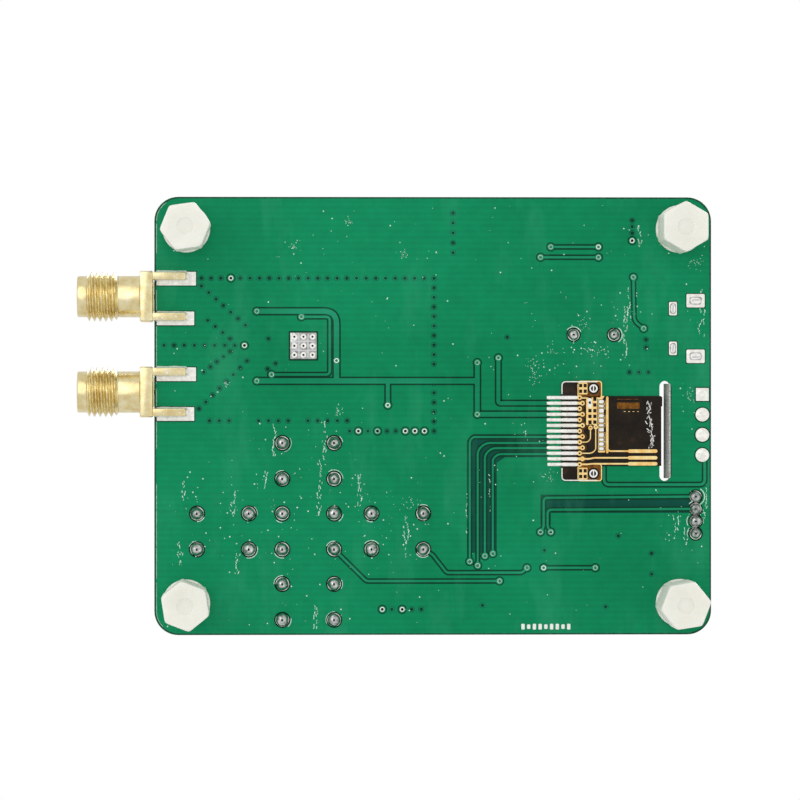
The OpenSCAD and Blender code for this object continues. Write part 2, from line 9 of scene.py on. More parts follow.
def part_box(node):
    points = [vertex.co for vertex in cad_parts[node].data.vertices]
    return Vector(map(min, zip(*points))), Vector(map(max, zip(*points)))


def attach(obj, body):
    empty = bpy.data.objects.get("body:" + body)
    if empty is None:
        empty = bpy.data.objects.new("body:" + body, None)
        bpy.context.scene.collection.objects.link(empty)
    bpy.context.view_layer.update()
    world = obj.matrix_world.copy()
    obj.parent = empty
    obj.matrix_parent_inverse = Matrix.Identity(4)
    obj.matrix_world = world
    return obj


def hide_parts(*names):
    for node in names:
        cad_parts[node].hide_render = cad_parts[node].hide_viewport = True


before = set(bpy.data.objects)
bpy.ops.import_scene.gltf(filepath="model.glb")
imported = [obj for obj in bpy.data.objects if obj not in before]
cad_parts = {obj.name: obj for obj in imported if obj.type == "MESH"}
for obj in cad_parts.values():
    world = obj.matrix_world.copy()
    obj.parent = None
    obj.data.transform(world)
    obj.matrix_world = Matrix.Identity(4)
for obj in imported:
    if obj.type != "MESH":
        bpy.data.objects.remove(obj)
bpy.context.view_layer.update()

rng = random.Random(459)

# ---------------------------------------------------------------- units and anchors
# Everything below is in millimetres from the middle of the board, seen from above,
# with z up from the rest surface. Build.done() shifts it and turns it into metres.
MM = 0.001


def box_mm(node):
    return [[c / MM for c in corner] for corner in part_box(node)]


PCB_LOW, PCB_HIGH = box_mm("pcb")
BOARD_X, BOARD_Y = [(a + b) / 2 for a, b in list(zip(PCB_LOW, PCB_HIGH))[:2]]
BOARD_W, BOARD_D = [b - a for a, b in list(zip(PCB_LOW, PCB_HIGH))[:2]]
LOW_Z, TOP_Z = PCB_LOW[2], PCB_HIGH[2]
CORNER_R = 3.0
KEYS = ["left", "right", "up", "down", "centre"]
SIDES = (-1, 1)
CORNERS = [(sx, sy) for sx in SIDES for sy in SIDES]
# Both faces of the board: a name, its height and which way is outwards.
FACES = [("under", LOW_Z, -1), ("upper", TOP_Z, 1)]


def place(node):
    """A node's lowest and highest corners, in mm from the middle of the board."""
    shift = (BOARD_X, BOARD_Y, 0)
    return tuple(Vector([a - b for a, b in zip(corner, shift)]) for corner in box_mm(node))


def middle(node):
    low, high = place(node)
    return (low + high) / 2


def plan(low, high):
    """Middle and size of a box, seen from above."""
    return (low.x + high.x) / 2, (low.y + high.y) / 2, high.x - low.x, high.y - low.y


def seat(node):
    """A node's lowest and highest corners, then its middle and size from above."""
    low, high = place(node)
    return low, high, *plan(low, high)


def flip(out):
    """Turns a shape drawn upwards so that it grows outwards from a face."""
    return Matrix.Scale(out, 4, (0, 0, 1))


# ---------------------------------------------------------------- outlines
def arc(cx, cy, r, start, stop, steps):
    """Points along an arc, angles in degrees."""
    turns = [math.radians(start + (stop - start) * i / steps) for i in range(steps + 1)]
    return [(cx + r * math.cos(a), cy + r * math.sin(a)) for a in turns]


def circle(cx, cy, r, steps):
    return arc(cx, cy, r, 0, 360 * (steps - 1) / steps, steps - 1)


def rounded(cx, cy, w, d, r, steps=4):
    """A rectangle with round corners, anticlockwise."""
    r = max(min(r, w / 2 - 1e-4, d / 2 - 1e-4), 1e-3)
    points = []
    for sx, sy, start in ((1, 1, 0), (-1, 1, 90), (-1, -1, 180), (1, -1, 270)):
        points += arc(cx + sx * (w / 2 - r), cy + sy * (d / 2 - r), r, start, start + 90, steps)
    return points


def fillet(points, r, steps=6):
    """A polyline with its corners rounded to a radius."""
    out = [points[0]]
    for a, b, c in zip(points, points[1:], points[2:]):
        a, b, c = Vector(a), Vector(b), Vector(c)
        before, after = (a - b), (c - b)
        cut = min(r, before.length * 0.45, after.length * 0.45)
        p, q = b + before.normalized() * cut, b + after.normalized() * cut
        for t in [i / steps for i in range(steps + 1)]:
            m = p * (1 - t) ** 2 + b * 2 * t * (1 - t) + q * t ** 2
            out.append((m.x, m.y))
    return out + [points[-1]]


def at_height(outline, z):
    return [(x, y, z) for x, y in outline]


# ---------------------------------------------------------------- mesh building
class Build:
    """Collects the shapes of one piece."""

    def __init__(self):
        self.bm = bmesh.new()
        self.mats = []

    def loft(self, rings, mat, cap=True, turn=None):
        """Skins closed rings of 3D points, each with the same number of points."""
        if mat not in self.mats:
            self.mats.append(mat)
        turn = turn or Matrix()
        rows = [[self.bm.verts.new(turn @ Vector(p)) for p in ring] for ring in rings]
        n = len(rows[0])
        faces = [(a[i], a[(i + 1) % n], b[(i + 1) % n], b[i])
                 for a, b in zip(rows, rows[1:]) for i in range(n)]
        if cap:
            faces += [list(reversed(rows[0])), rows[-1]]
        for corners in faces:
            self.bm.faces.new(corners).material_index = self.mats.index(mat)

    def stack(self, outline, levels, mat, turn=None):
        """Lofts outline(grow) at (grow, z) levels: grow is how far outside nominal."""
        self.loft([at_height(outline(grow), z) for grow, z in levels], mat, turn=turn)

    def slab(self, cx, cy, w, d, z0, z1, mat, r, edge, steps=4):
        """A block with round corners and softened top and bottom edges."""
        z0, z1 = sorted((z0, z1))
        e = min(edge, (z1 - z0) / 2.2)
        soft = [(-e, 0), (-0.3 * e, 0.3 * e), (0, e)]
        levels = [(g, z0 + h) for g, h in soft] + [(g, z1 - h) for g, h in reversed(soft)]
        self.stack(lambda g: rounded(cx, cy, w + 2 * g, d + 2 * g, r + g, steps), levels, mat)

    def plate(self, cx, cy, w, d, r, steps, z0, z1, mat):
        """A flat rectangle with round corners."""
        self.prism(rounded(cx, cy, w, d, r, steps), z0, z1, mat)

    def lathe(self, profile, centre, mat, steps, cap=True, turn=None, wobble=0.0):
        """Revolves (radius, height) about +Z through centre, or a turned axis."""
        cx, cy, _ = centre
        rings = []
        for r, h in profile:
            ring = []
            for x, y in circle(0, 0, 1, steps):
                k = 1.0
                if wobble:
                    k += wobble * noise.noise(Vector((x + cx, y + cy, h * 1.7)))
                ring.append((x * r * k, y * r * k, h))
            rings.append(ring)
        self.loft(rings, mat, cap, Matrix.Translation(centre) @ (turn or Matrix()))

    def band(self, points, width, z0, z1, mat):
        """A flat ribbon along a polyline, with half-round ends, from z0 to z1."""
        half = width / 2
        pts = [Vector(p) for p in points]
        spine = []
        for i, p in enumerate(pts):
            before = (p - pts[i - 1]).normalized() if i else None
            after = (pts[i + 1] - p).normalized() if i + 1 < len(pts) else None
            along = before or after
            grow = 1.0
            if before and after:
                along = (before + after).normalized()
                grow = 1 / max(along.dot(before), 0.4)
            spine.append((p, along, half * grow))
        for at, sign in ((0, -1), (-1, 1)):
            p, along, _ = spine[at]
            ends = []
            for t in map(math.radians, (25, 50, 72, 86)):
                ends.append((p + along * sign * half * math.sin(t), along, half * math.cos(t)))
            spine = ends[::-1] + spine if sign < 0 else spine + ends
        rings = []
        for p, along, reach in spine:
            side = Vector((-along.y, along.x)) * reach
            left, right = p + side, p - side
            rings.append([(*left, z0), (*left, z1), (*right, z1), (*right, z0)])
        self.loft(rings, mat)

    def prism(self, outline, z0, z1, mat):
        self.loft([at_height(outline, z) for z in sorted((z0, z1))], mat)

    def ring(self, cx, cy, r_in, r_out, z0, z1, mat, steps=24):
        """A flat washer between two radii."""
        low, high = sorted((z0, z1))
        profile = [(r_in, low), (r_out, low), (r_out, high), (r_in, high), (r_in, low)]
        self.lathe(profile, (cx, cy, 0), mat, steps, cap=False)

    def done(self, name, slot, body="board", replaces=(), soft=38):
        """Turns what was collected into a piece that rides on a body."""
        bm = self.bm
        bmesh.ops.remove_doubles(bm, verts=bm.verts, dist=1e-5)
        bmesh.ops.dissolve_degenerate(bm, edges=bm.edges, dist=1e-6)
        bmesh.ops.recalc_face_normals(bm, faces=bm.faces)
        for e in bm.edges:
            e.smooth = e.calc_face_angle(0.0) < math.radians(soft)
        for f in bm.faces:
            f.smooth = True
        bm.transform(Matrix.Translation((BOARD_X * MM, BOARD_Y * MM, 0)) @ Matrix.Scale(MM, 4))
        mesh = bpy.data.meshes.new(name)
        bm.to_mesh(mesh)
        bm.free()
        for mat in self.mats:
            mesh.materials.append(mat)
        piece = add_object(name, mesh)
        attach(piece, body)
        if replaces:
            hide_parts(*replaces)


def add_object(name, data):
    made = bpy.data.objects.new(name, data)
    bpy.context.scene.collection.objects.link(made)
    return made


# ---------------------------------------------------------------- materials
def srgb(colour):
    """Colours are written as 0..255 display values and used as linear ones."""
    parts = [c / 255 for c in colour]
    return tuple(c / 12.92 if c <= 0.04045 else ((c + 0.055) / 1.055) ** 2.4 for c in parts)


class Finish:
    """Builds one procedural material around a Principled shader."""

    def __init__(self, name, rough=0.4, metal=0.0, coat=0.0, ior=1.5, subsurface=0.0):
        self.mat = bpy.data.materials.new(name)
        self.mat.use_nodes = True
        self.nodes, self.links = self.mat.node_tree.nodes, self.mat.node_tree.links
        self.shader = self.nodes["Principled BSDF"]
        self.fill(self.shader, {"Roughness": rough, "Metallic": metal, "IOR": ior,
                                "Coat Weight": coat, "Coat Roughness": 0.12})
        if subsurface:
            self.fill(self.shader, {"Subsurface Weight": subsurface, "Subsurface Scale": 0.0012,
                                    "Subsurface Radius": (1.0, 0.95, 0.85)})
        self.where = self.stretched(self.add("TexCoord").outputs["Object"], (1 / MM,) * 3)
        self.bump_end = None

    def fill(self, node, values):
        """Links each value that is a socket, and sets the others."""
        for key, value in values.items():
            if isinstance(value, bpy.types.NodeSocket):
                self.links.new(value, node.inputs[key])
            else:
                node.inputs[key].default_value = value
        return node

    def add(self, kind, values={}):
        return self.fill(self.nodes.new("ShaderNode" + kind), values)

    def stretched(self, where, scale):
        return self.add("Mapping", {"Scale": scale, "Vector": where}).outputs["Vector"]

    def noise(self, scale, detail=3.0, rough=0.55, stretch=None):
        """A noise value in 0..1; scale is in features per millimetre."""
        where = self.stretched(self.where, stretch) if stretch else self.where
        return self.add("TexNoise", {"Scale": scale, "Detail": detail, "Roughness": rough,
                                     "Vector": where}).outputs["Fac"]

    def ramp(self, value, stops):
        """Colours by value; stops are (position, display colour)."""
        r = self.add("ValToRGB", {"Fac": value})
        while len(r.color_ramp.elements) < len(stops):
            r.color_ramp.elements.new(0.5)
        for e, (at, colour) in zip(r.color_ramp.elements, stops):
            e.position, e.color = at, (*srgb(colour), 1.0)
        return r.outputs["Color"]

    def span(self, value, low, high, start=0.3, stop=0.7):
        return self.add("MapRange", {"From Min": start, "From Max": stop, "To Min": low,
                                     "To Max": high, "Value": value}).outputs["Result"]

    def mix(self, fac, a, b, mode="MIX"):
        m = self.add("Mix")
        m.data_type, m.blend_type = "RGBA", mode
        return self.fill(m, {0: fac, 6: a, 7: b}).outputs[2]

    def math(self, op, a, b=0.0):
        m = self.add("Math", {0: a, 1: b})
        m.operation = op
        return m.outputs[0]

    def bump(self, value, height_mm, strength):
        b = self.add("Bump", {"Distance": height_mm * MM, "Strength": strength, "Height": value})
        if self.bump_end is not None:
            self.fill(b, {"Normal": self.bump_end})
        self.bump_end = b.outputs["Normal"]
        self.fill(self.shader, {"Normal": self.bump_end})

    def dress(self, colour, roughness, bumps):
        """Wires the shader; bumps are (noise settings, height in mm, strength)."""
        self.fill(self.shader, {"Base Color": colour, "Roughness": roughness})
        for grain, height_mm, strength in bumps:
            self.bump(self.noise(*grain), height_mm, strength)
        return self.mat


def finish(name, drift, stops, gloss, low, high, bumps, **facts):
    """Colour, gloss and grain that each follow a noise of their own settings."""
    f = Finish(name, **facts)
    return f.dress(f.ramp(f.noise(*drift), stops), f.span(f.noise(*gloss), low, high), bumps)


def plain_finish(name, dark, light, rough, scale, bump_scale, bump_mm, **facts):
    """A material that drifts between two close colours, with uneven gloss and grain."""
    return finish(name, (scale,), [(0.3, dark), (0.7, light)], (scale * 2.3,), rough * 0.75,
                  min(rough * 1.3, 1.0), [((bump_scale, 4.0), bump_mm, 1.0)], rough=rough, **facts)


def mask_finish(name, dark, light, cut_edges=False):
    """Green solder mask with brush marks and haze, and bare laminate on any cut edges."""
    f = Finish(name, rough=0.34, ior=1.18)
    drift = f.ramp(f.noise(0.045, 2.0), [(0.34, dark), (0.66, light)])
    weave = f.add("TexWave", {"Scale": 0.42, "Distortion": 0.35, "Detail": 1.0, "Vector": f.where})
    weave.bands_direction = "Y"
    stripes = f.span(weave.outputs["Fac"], 0.95, 1.03, 0.0, 1.0)
    shade = f.math("MULTIPLY", stripes, f.span(f.noise(0.6, 4.0, 0.6), 0.93, 1.06))
    grey = f.add("CombineColor", {channel: shade for channel in range(3)})
    face = f.mix(1.0, drift, grey.outputs[0], "MULTIPLY")
    smear = f.span(f.noise(0.22, 5.0, 0.6, (1.0, 0.3, 1.0)), 0.0, 0.2, 0.52, 0.78)
    face = f.mix(smear, face, (*srgb((76, 176, 134)), 1.0))
    if cut_edges:
        laminate = f.ramp(f.noise(9.0, 2.0, stretch=(0.15, 0.15, 3.0)),
                          [(0.35, (38, 92, 60)), (0.65, (92, 122, 78))])
        up = f.add("SeparateXYZ", {0: f.add("NewGeometry").outputs["Normal"]})
        flat = f.math("GREATER_THAN", f.math("ABSOLUTE", up.outputs["Z"]), 0.6)
        face = f.mix(flat, laminate, face)
    return f.dress(face, f.span(f.noise(0.9, 4.0), 0.2, 0.42),
                   [((0.55, 2.0), 0.012, 0.5), ((7.0, 3.0), 0.0016, 0.5)])


def solder_finish(name, rough, dark, light, metal=1.0):
    """Bright tin: cooled ripples, dull patches and fine pits."""
    return finish(name, (2.2, 4.0), [(0.32, dark), (0.68, light)], (3.1, 3.0), rough * 0.6,
                  rough * 1.7, [((2.6, 3.0), 0.05, 0.55), ((14.0, 2.0), 0.005, 0.5)],
                  rough=rough, metal=metal)


def hair_lines(name, dark, light, rough, stretch):
    """Brushed or rolled sheet metal with fine directional lines."""
    f = Finish(name, rough=rough, metal=1.0)
    lines = f.noise(6.0, 3.0, stretch=stretch)
    f.dress(f.ramp(lines, [(0.3, dark), (0.7, light)]),
            f.span(f.noise(1.5, 3.0), rough * 0.7, rough * 1.4), [])
    f.bump(lines, 0.004, 0.5)
    return f.mat


MASK = mask_finish("mask_on_pour", (2, 126, 80), (8, 137, 90), True)
MASK_TRACE = mask_finish("mask_on_trace", (8, 128, 86), (34, 146, 108))
MASK_GAP = mask_finish("mask_on_laminate", (1, 52, 32), (4, 68, 44))
MASK_DEEP = mask_finish("mask_on_bare_field", (4, 70, 58), (10, 82, 68))
TIN = solder_finish("levelled_tin", 0.34, (226, 224, 214), (252, 251, 246), 0.35)
SOLDER = solder_finish("solder", 0.15, (126, 128, 128), (222, 224, 222))
# Gold plate over turned brass: lathe lines round the axis and worn, paler patches.
GOLD = finish(
    "gold_plate", (0.8, 4.0),
    [(0.3, (220, 199, 142)), (0.55, (236, 222, 174)), (0.75, (244, 236, 204))], (1.7, 4.0), 0.2, 0.36,
    [((9.0, 2.0, 0.55, (1.6, 0.05, 0.05)), 0.004, 0.6), ((1.1, 2.0), 0.02, 0.3)], rough=0.27, metal=1.0)
NYLON = finish(
    "nylon", (0.35, 3.0), [(0.3, (231, 230, 219)), (0.7, (237, 237, 228))], (1.2, 3.0), 0.45, 0.58,
    [((0.5, 3.0), 0.003, 0.4), ((9.0, 2.0), 0.003, 0.4)], rough=0.45, subsurface=0.5)
# Black cover film of the display's tail: slight ripples, scuffs and brown edges.
FILM = finish(
    "black_cover_film", (0.5, 4.0), [(0.3, (20, 14, 8)), (0.6, (32, 24, 14)), (0.8, (60, 42, 24))],
    (2.0, 4.0), 0.14, 0.38, [((0.9, 3.0), 0.06, 0.4)], rough=0.3, ior=1.25)
# Unlit display glass: near black, with a faint blue cast and finger smears.
GLASS = finish(
    "display_glass", (0.16, 2.0), [(0.3, (8, 9, 12)), (0.7, (15, 17, 22))],
    (0.5, 4.0, 0.55, (0.4, 2.2, 1.0)), 0.03, 0.16, [((0.3, 1.0), 0.004, 0.3)], rough=0.06, coat=0.8)
# Name, dark and light colour, roughness, colour scale, grain scale and grain height in mm.
COPPER = plain_finish(
    "gold_flash_copper", (246, 190, 98), (255, 234, 166), 0.28, 1.4, 6.0, 0.006, metal=0.5)
AMBER = plain_finish("amber_film", (74, 42, 5), (138, 88, 20), 0.3, 2.5, 5.0, 0.004, ior=1.25)
# Painted shade: near-black green laid in open holes, round the foot of each solder joint and on the cut
# lead ends.
PAINTED_HOLE_SHADE = plain_finish("hole_shadow", (1, 30, 20), (4, 46, 32), 0.7, 3.0, 9.0, 0.003, ior=1.2)
VIA_RIM = plain_finish("hole_rim", (96, 152, 124), (186, 212, 194), 0.4, 3.0, 9.0, 0.003)
# Painted shade: a dark line laid along the board's and the slot's cut edges.
PAINTED_EDGE_SHADE = plain_finish(
    "cut_edge_shadow", (16, 60, 44), (46, 92, 70), 0.7, 2.0, 9.0, 0.004, ior=1.2)
SLOT_EDGE = plain_finish("milled_laminate", (150, 154, 149), (204, 207, 201), 0.8, 6.0, 14.0, 0.03)
# Flux residue, also used for the painted highlights on the flux rims round the joints.
FLUX_AND_GLINT = plain_finish("flux_residue_and_glint", (120, 192, 158), (234, 248, 240), 0.2, 5.0, 8.0, 0.01, coat=0.6)
# Painted highlight: white flecks that stand for glints off the film's crease and the slot's wall.
PAINTED_GLINT = plain_finish("painted_glint_white", (214, 214, 208), (250, 250, 248), 0.4, 6.0, 9.0, 0.01)
INK = plain_finish("legend_ink", (222, 224, 218), (246, 246, 242), 0.55, 3.0, 12.0, 0.004)
PTFE = plain_finish(
    "white_insulator", (232, 230, 222), (246, 245, 240), 0.42, 1.5, 8.0, 0.004, subsurface=0.2)
BLACK_PLASTIC = plain_finish("black_moulding", (20, 20, 21), (36, 36, 37), 0.42, 1.2, 16.0, 0.008)
IVORY = plain_finish(
    "ivory_moulding", (228, 222, 202), (244, 240, 226), 0.4, 0.9, 14.0, 0.006, subsurface=0.15)
WHITE_PLASTIC = plain_finish("white_tray", (222, 222, 220), (242, 242, 240), 0.4, 0.9, 14.0, 0.006)
TAPE = plain_finish("foam_tape", (18, 18, 18), (38, 37, 36), 0.85, 2.0, 12.0, 0.03)
RESIN = plain_finish("chip_resin", (26, 26, 28), (46, 46, 48), 0.6, 0.8, 18.0, 0.012)
CERAMIC = plain_finish("capacitor_body", (150, 118, 82), (190, 156, 116), 0.5, 2.2, 14.0, 0.006)
GLAZE = plain_finish("resistor_glaze", (14, 14, 18), (36, 36, 42), 0.22, 2.4, 10.0, 0.003)
LENS = plain_finish("lamp_lens", (214, 236, 214), (240, 250, 238), 0.15, 1.5, 6.0, 0.004)
GLASS_ACTIVE = plain_finish(
    "display_active_area", (19, 22, 30), (27, 30, 40), 0.12, 0.3, 12.0, 0.001, coat=0.8)
STEEL = hair_lines("rolled_steel", (196, 196, 197), (222, 222, 223), 0.3, (0.12, 2.0, 2.0))
TINNED = hair_lines("tinned_lead", (170, 170, 168), (222, 222, 220), 0.24, (1.5, 1.5, 0.3))
CAN = hair_lines("drawn_can", (206, 206, 207), (224, 224, 225), 0.22, (0.5, 0.5, 3.0))




def islands(node):
    """The separate solids of a CAD node as (lowest, highest) corners, left to right."""
    bm = bmesh.new()
    bm.from_mesh(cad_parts[node].data)
    bmesh.ops.remove_doubles(bm, verts=bm.verts, dist=1e-6)
    shift = Vector((BOARD_X, BOARD_Y, 0))
    left = set(bm.verts)
    found = []
    while left:
        group, edge = set(), [left.pop()]
        while edge:
            v = edge.pop()
            group.add(v)
            near = {e.other_vert(v) for e in v.link_edges} & left
            left -= near
            edge += near
        points = [v.co / MM - shift for v in group]
        low = Vector([min(p[i] for p in points) for i in range(3)])
        high = Vector([max(p[i] for p in points) for i in range(3)])
        found.append((low, high))
    bm.free()
    return sorted(found, key=lambda b: (round(b[0].x, 2), round(b[0].y, 2), round(b[0].z, 2)))


# ---------------------------------------------------------------- board artwork
JACK_X = place("jack_1_shell")[0].x
JACK_Y = [middle("jack_1_contact").y, middle("jack_2_contact").y]
JACK_Z = middle("jack_1_contact").z
LEG_OFF = 2.55
CHIP = middle("rf_chip")
FINGERS = [(low + high) / 2 for low, high in islands("flex_solder")][::-1]
FINGER_END = place("flex_solder")[1].x
HEADER = [(low + high) / 2 for low, high in islands("side_header_pins")][::-1]
# Spare pads are filled flat; the other islands of the node stand up round a lead.
FLAT_JOINT = 0.3
SPARE = [(a + b) / 2 for a, b in islands("lead_solder") if b.z - a.z < FLAT_JOINT][::-1]
JOINTS = [(a, b) for a, b in islands("lead_solder") if b.z - a.z > FLAT_JOINT]
KEY_JOINTS = islands("key_solder")

# Routes in mm from the middle of the board: (width, corner radius, [points]).
ROUTES = [
    (0.67, 1.6, [(22.15, 13.15), (12.15, 13.15), (12.15, 4.4)]),
    (0.31, 0.5, [(16.55, 12.45), (13.0, 12.45), (13.0, 5.2), (20.3, 5.2)]),
    (0.67, 0.2, [(22.15, 4.4), (-5.55, 4.4)]),
    (0.5, 0.2, [(5.7, 4.4), (5.7, 1.35)]),
    (0.6, 0.3, [(-5.55, 6.7), (-5.55, FINGERS[3].y), (FINGER_END, FINGERS[3].y)]),
    (0.5, 0.3, [(-8.2, 7.3), (-8.2, FINGERS[1].y), (FINGER_END, FINGERS[1].y)]),
    (0.24, 0.6, [(FINGER_END, -2.65), (-5.0, -2.65), (-4.6, -3.15), (-4.6, -18.3)]),
    (0.24, 0.6, [(FINGER_END, -3.4), (-6.6, -3.4), (-5.6, -4.3), (-5.6, -18.8)]),
    (0.24, 0.6, [(FINGER_END, -4.05), (-7.4, -4.05), (-6.5, -4.85), (-6.5, -17.6)]),
    (0.24, 0.6, [(FINGER_END, -4.8), (-8.2, -4.8), (-7.5, -5.35), (-7.5, -17.3)]),
    (0.28, 0.5, [(HEADER[0].x, HEADER[0].y), (-13.9, -10.3), (-13.9, -14.0), (-13.5, -14.5)]),
    (0.28, 0.5, [(HEADER[1].x, HEADER[1].y), (-14.4, -11.8), (-14.4, -14.0), (-14.8, -14.5)]),
    (0.34, 0.7, [(-34.2, -5.5), (-34.2, -8.65), (-21.5, -8.65), (-21.5, -6.5)]),
    (0.3, 0.3, [(12.4, -16.8), (8.4, -20.75), (-8.35, -20.75)]),
    (0.3, 0.3, [(1.2, -16.8), (0.1, -17.4), (-1.7, -19.7), (-11.2, -19.7), (-11.8, -19.1)]),
    (0.3, 0.2, [(-13.9, -19.1), (-20.4, -19.1)]),
    (0.3, 0.2, [(-14.8, 21.25), (-20.8, 21.25)]),
    (0.3, 0.2, [(-13.5, 19.95), (-20.8, 19.95)]),
    (0.3, 1.5, [(-25.2, 17.45), (-25.3, 11.9), (-26.5, 11.0)]),
]
GAP_WIDTH = 0.2
# Each route lies a little higher than the one before, so that no two share a plane.
ROUTE_STEP = 0.0004
BARE_FIELDS = [
    [(FINGER_END, -2.3), (-5.0, -2.3), (-4.25, -3.1), (-4.25, -17.2), (-8.0, -17.2), (-8.0, -5.9),
     (-9.0, -5.2), (FINGER_END, -5.2)],
    [(HEADER[0].x, -9.9), (-13.5, -9.9), (-13.5, -13.6), (-14.8, -13.6), (-14.8, -12.2),
     (HEADER[1].x, -12.2)],
]
RING_VIAS = [
    (16.55, 12.45), (12.15, 6.95), (20.3, 5.2), (22.15, 4.4), (22.15, 13.15), (5.7, 1.35),
    (-5.55, 6.7), (-5.55, 0.2), (-8.2, 7.3), (-4.6, -18.3), (-5.6, -18.8), (-6.5, -17.6),
    (-7.5, -17.3), (-13.5, -14.6), (-14.8, -14.6), (-8.35, -20.75), (-11.8, -19.1),
    (-13.9, -19.1), (-20.4, -19.1), (-14.8, 21.25), (-20.8, 21.25), (-13.5, 19.95),
    (-20.8, 19.95), (-25.2, 17.45), (-26.5, 11.0), (-25.05, 22.05), (23.7, 8.85),
    (25.4, 17.3), (6.4, -24.3), (3.9, -24.3), (9.4, -1.9), (7.0, -1.9), (3.5, -1.9),
    (2.3, -1.9), (1.1, -1.9),
]
BRIGHT_VIAS = {
    (12.15, 6.95), (5.7, 1.35), (23.7, 8.85), (25.4, 17.3), (6.4, -24.3), (3.9, -24.3), (9.4, -1.9),
    (3.5, -1.9), (2.3, -1.9), (1.1, -1.9), (-25.05, 22.05), (-20.8, 21.25), (-13.9, -19.1),
}


def row(x0, y0, x1, y1, pitch, skip=()):
    """Points along a line at a steady pitch, leaving some out."""
    start, run = Vector((x0, y0)), Vector((x1 - x0, y1 - y0))
    count = round(run.length / pitch)
    points = [start + run * i / count for i in range(count + 1)]
    return [(p.x, p.y) for i, p in enumerate(points) if i not in skip]


STITCHES = (
    row(29.1, 17.3, -0.1, 17.3, 1.225)
    + row(-0.1, 16.1, -0.1, -0.7, 1.24, skip=(9,))
    + row(28.1, -0.6, 10.8, -0.6, 1.24, skip=(3, 4, 9))
    + [(10.5, -1.9), (8.2, -1.9), (5.8, -1.9), (4.7, -1.9), (-0.1, -1.9), (19.8, 6.6), (20.8, 5.9)]
    + row(33.8, 8.85, 24.9, 8.85, 1.27)
    + row(29.1, 16.3, 23.6, 11.4, 1.2)
    + row(28.3, 12.0, 25.5, 9.7, 1.2)
    + row(25.5, 8.1, 28.8, 5.5, 1.05)
    + row(23.4, 6.9, 29.4, 0.9, 1.2)
    + row(-2.5, 25.5, -2.5, 20.5, 1.25)
    + row(-25.05, 24.6, -25.05, 23.0, 0.8)
    + row(-26.8, 9.6, -26.8, 8.6, 1.0)
    + row(-24.7, 5.5, -27.1, 5.5, 1.2)
    + [(5.2, -24.3), (2.7, -24.3), (1.5, -24.3), (-23.3, -15.1), (-27.5, -17.3)]
    + [(-27.5, -19.9), (-21.7, -24.0), (-14.0, -16.9), (-6.2, -23.8), (-9.3, 9.9), (20.7, 9.7)]
)


def draw_routes(face, routes, fields, z, out, gap_up):
    """Traces under the mask: a raised pale ribbon inside a darker clearance."""
    gaps, tracks = Build(), Build()
    for outline in fields:
        gaps.prism(outline, z, z + out * 0.008, MASK_DEEP)
    for i, (width, bend, points) in enumerate(routes):
        path, step = fillet(points, bend), i * ROUTE_STEP
        gaps.band(path, width + 2 * GAP_WIDTH, z, z + out * (gap_up + step), MASK_GAP)
        tracks.band(path, width, z, z + out * (0.034 + step), MASK_TRACE)
    gaps.done(face + "_clearances", "solder_mask")
    tracks.done(face + "_traces", "solder_mask")


def draw_vias():
    """Small holes through both faces, the open ones with a bright rim and a disc of painted shade in
    the hole.
    """
    for name, z, out in FACES:
        b = Build()
        for x, y in STITCHES:
            turn = rng.random()
            b.ring(x, y, 0.2, 0.31, z, z + out * 0.012, MASK_TRACE, 14)
            b.ring(x, y, 0.31, 0.36 + 0.03 * turn, z, z + out * 0.008, MASK_DEEP, 14)
            r = 0.19 + 0.06 * turn
            b.lathe([(r, 0), (r, 0.018), (r * 0.5, 0.012)], (x, y, z), MASK_GAP, 12, turn=flip(out))
        for x, y in RING_VIAS:
            rim = TIN if (x, y) in BRIGHT_VIAS else VIA_RIM
            for r_in, r_out, up, mat in ((0.3, 0.44, 0.043, MASK_TRACE), (0.44, 0.58, 0.02, MASK_GAP),
                                         (0.19, 0.3, 0.05, rim)):
                b.ring(x, y, r_in, r_out, z, z + out * up, mat, 18)
            # Painted shade fills the open hole.
            b.lathe([(0.2, 0), (0.2, 0.03), (0.1, 0.02)], (x, y, z), PAINTED_HOLE_SHADE, 14, turn=flip(out))
        b.done("vias_" + name, "solder")


JACK_PADS = []
for jack_y in JACK_Y:
    JACK_PADS += [(32.25, jack_y + 2.23, 4.95, 1.72), (32.35, jack_y - 2.76, 4.7, 1.72)]
USB_MID = middle("usb_shell").y
# Middle and size of the pad, then the size of the hole in it.
USB_PADS = [(x, USB_MID + side * reach, w, 1.7, hole_w, hole_d)
            for x, reach, w, hole_w, hole_d in
            ((-33.05, 3.5, 2.3, 1.3, 0.74), (-30.2, 2.5, 1.0, 0.5, 1.1))
            for side in (1, -1)]


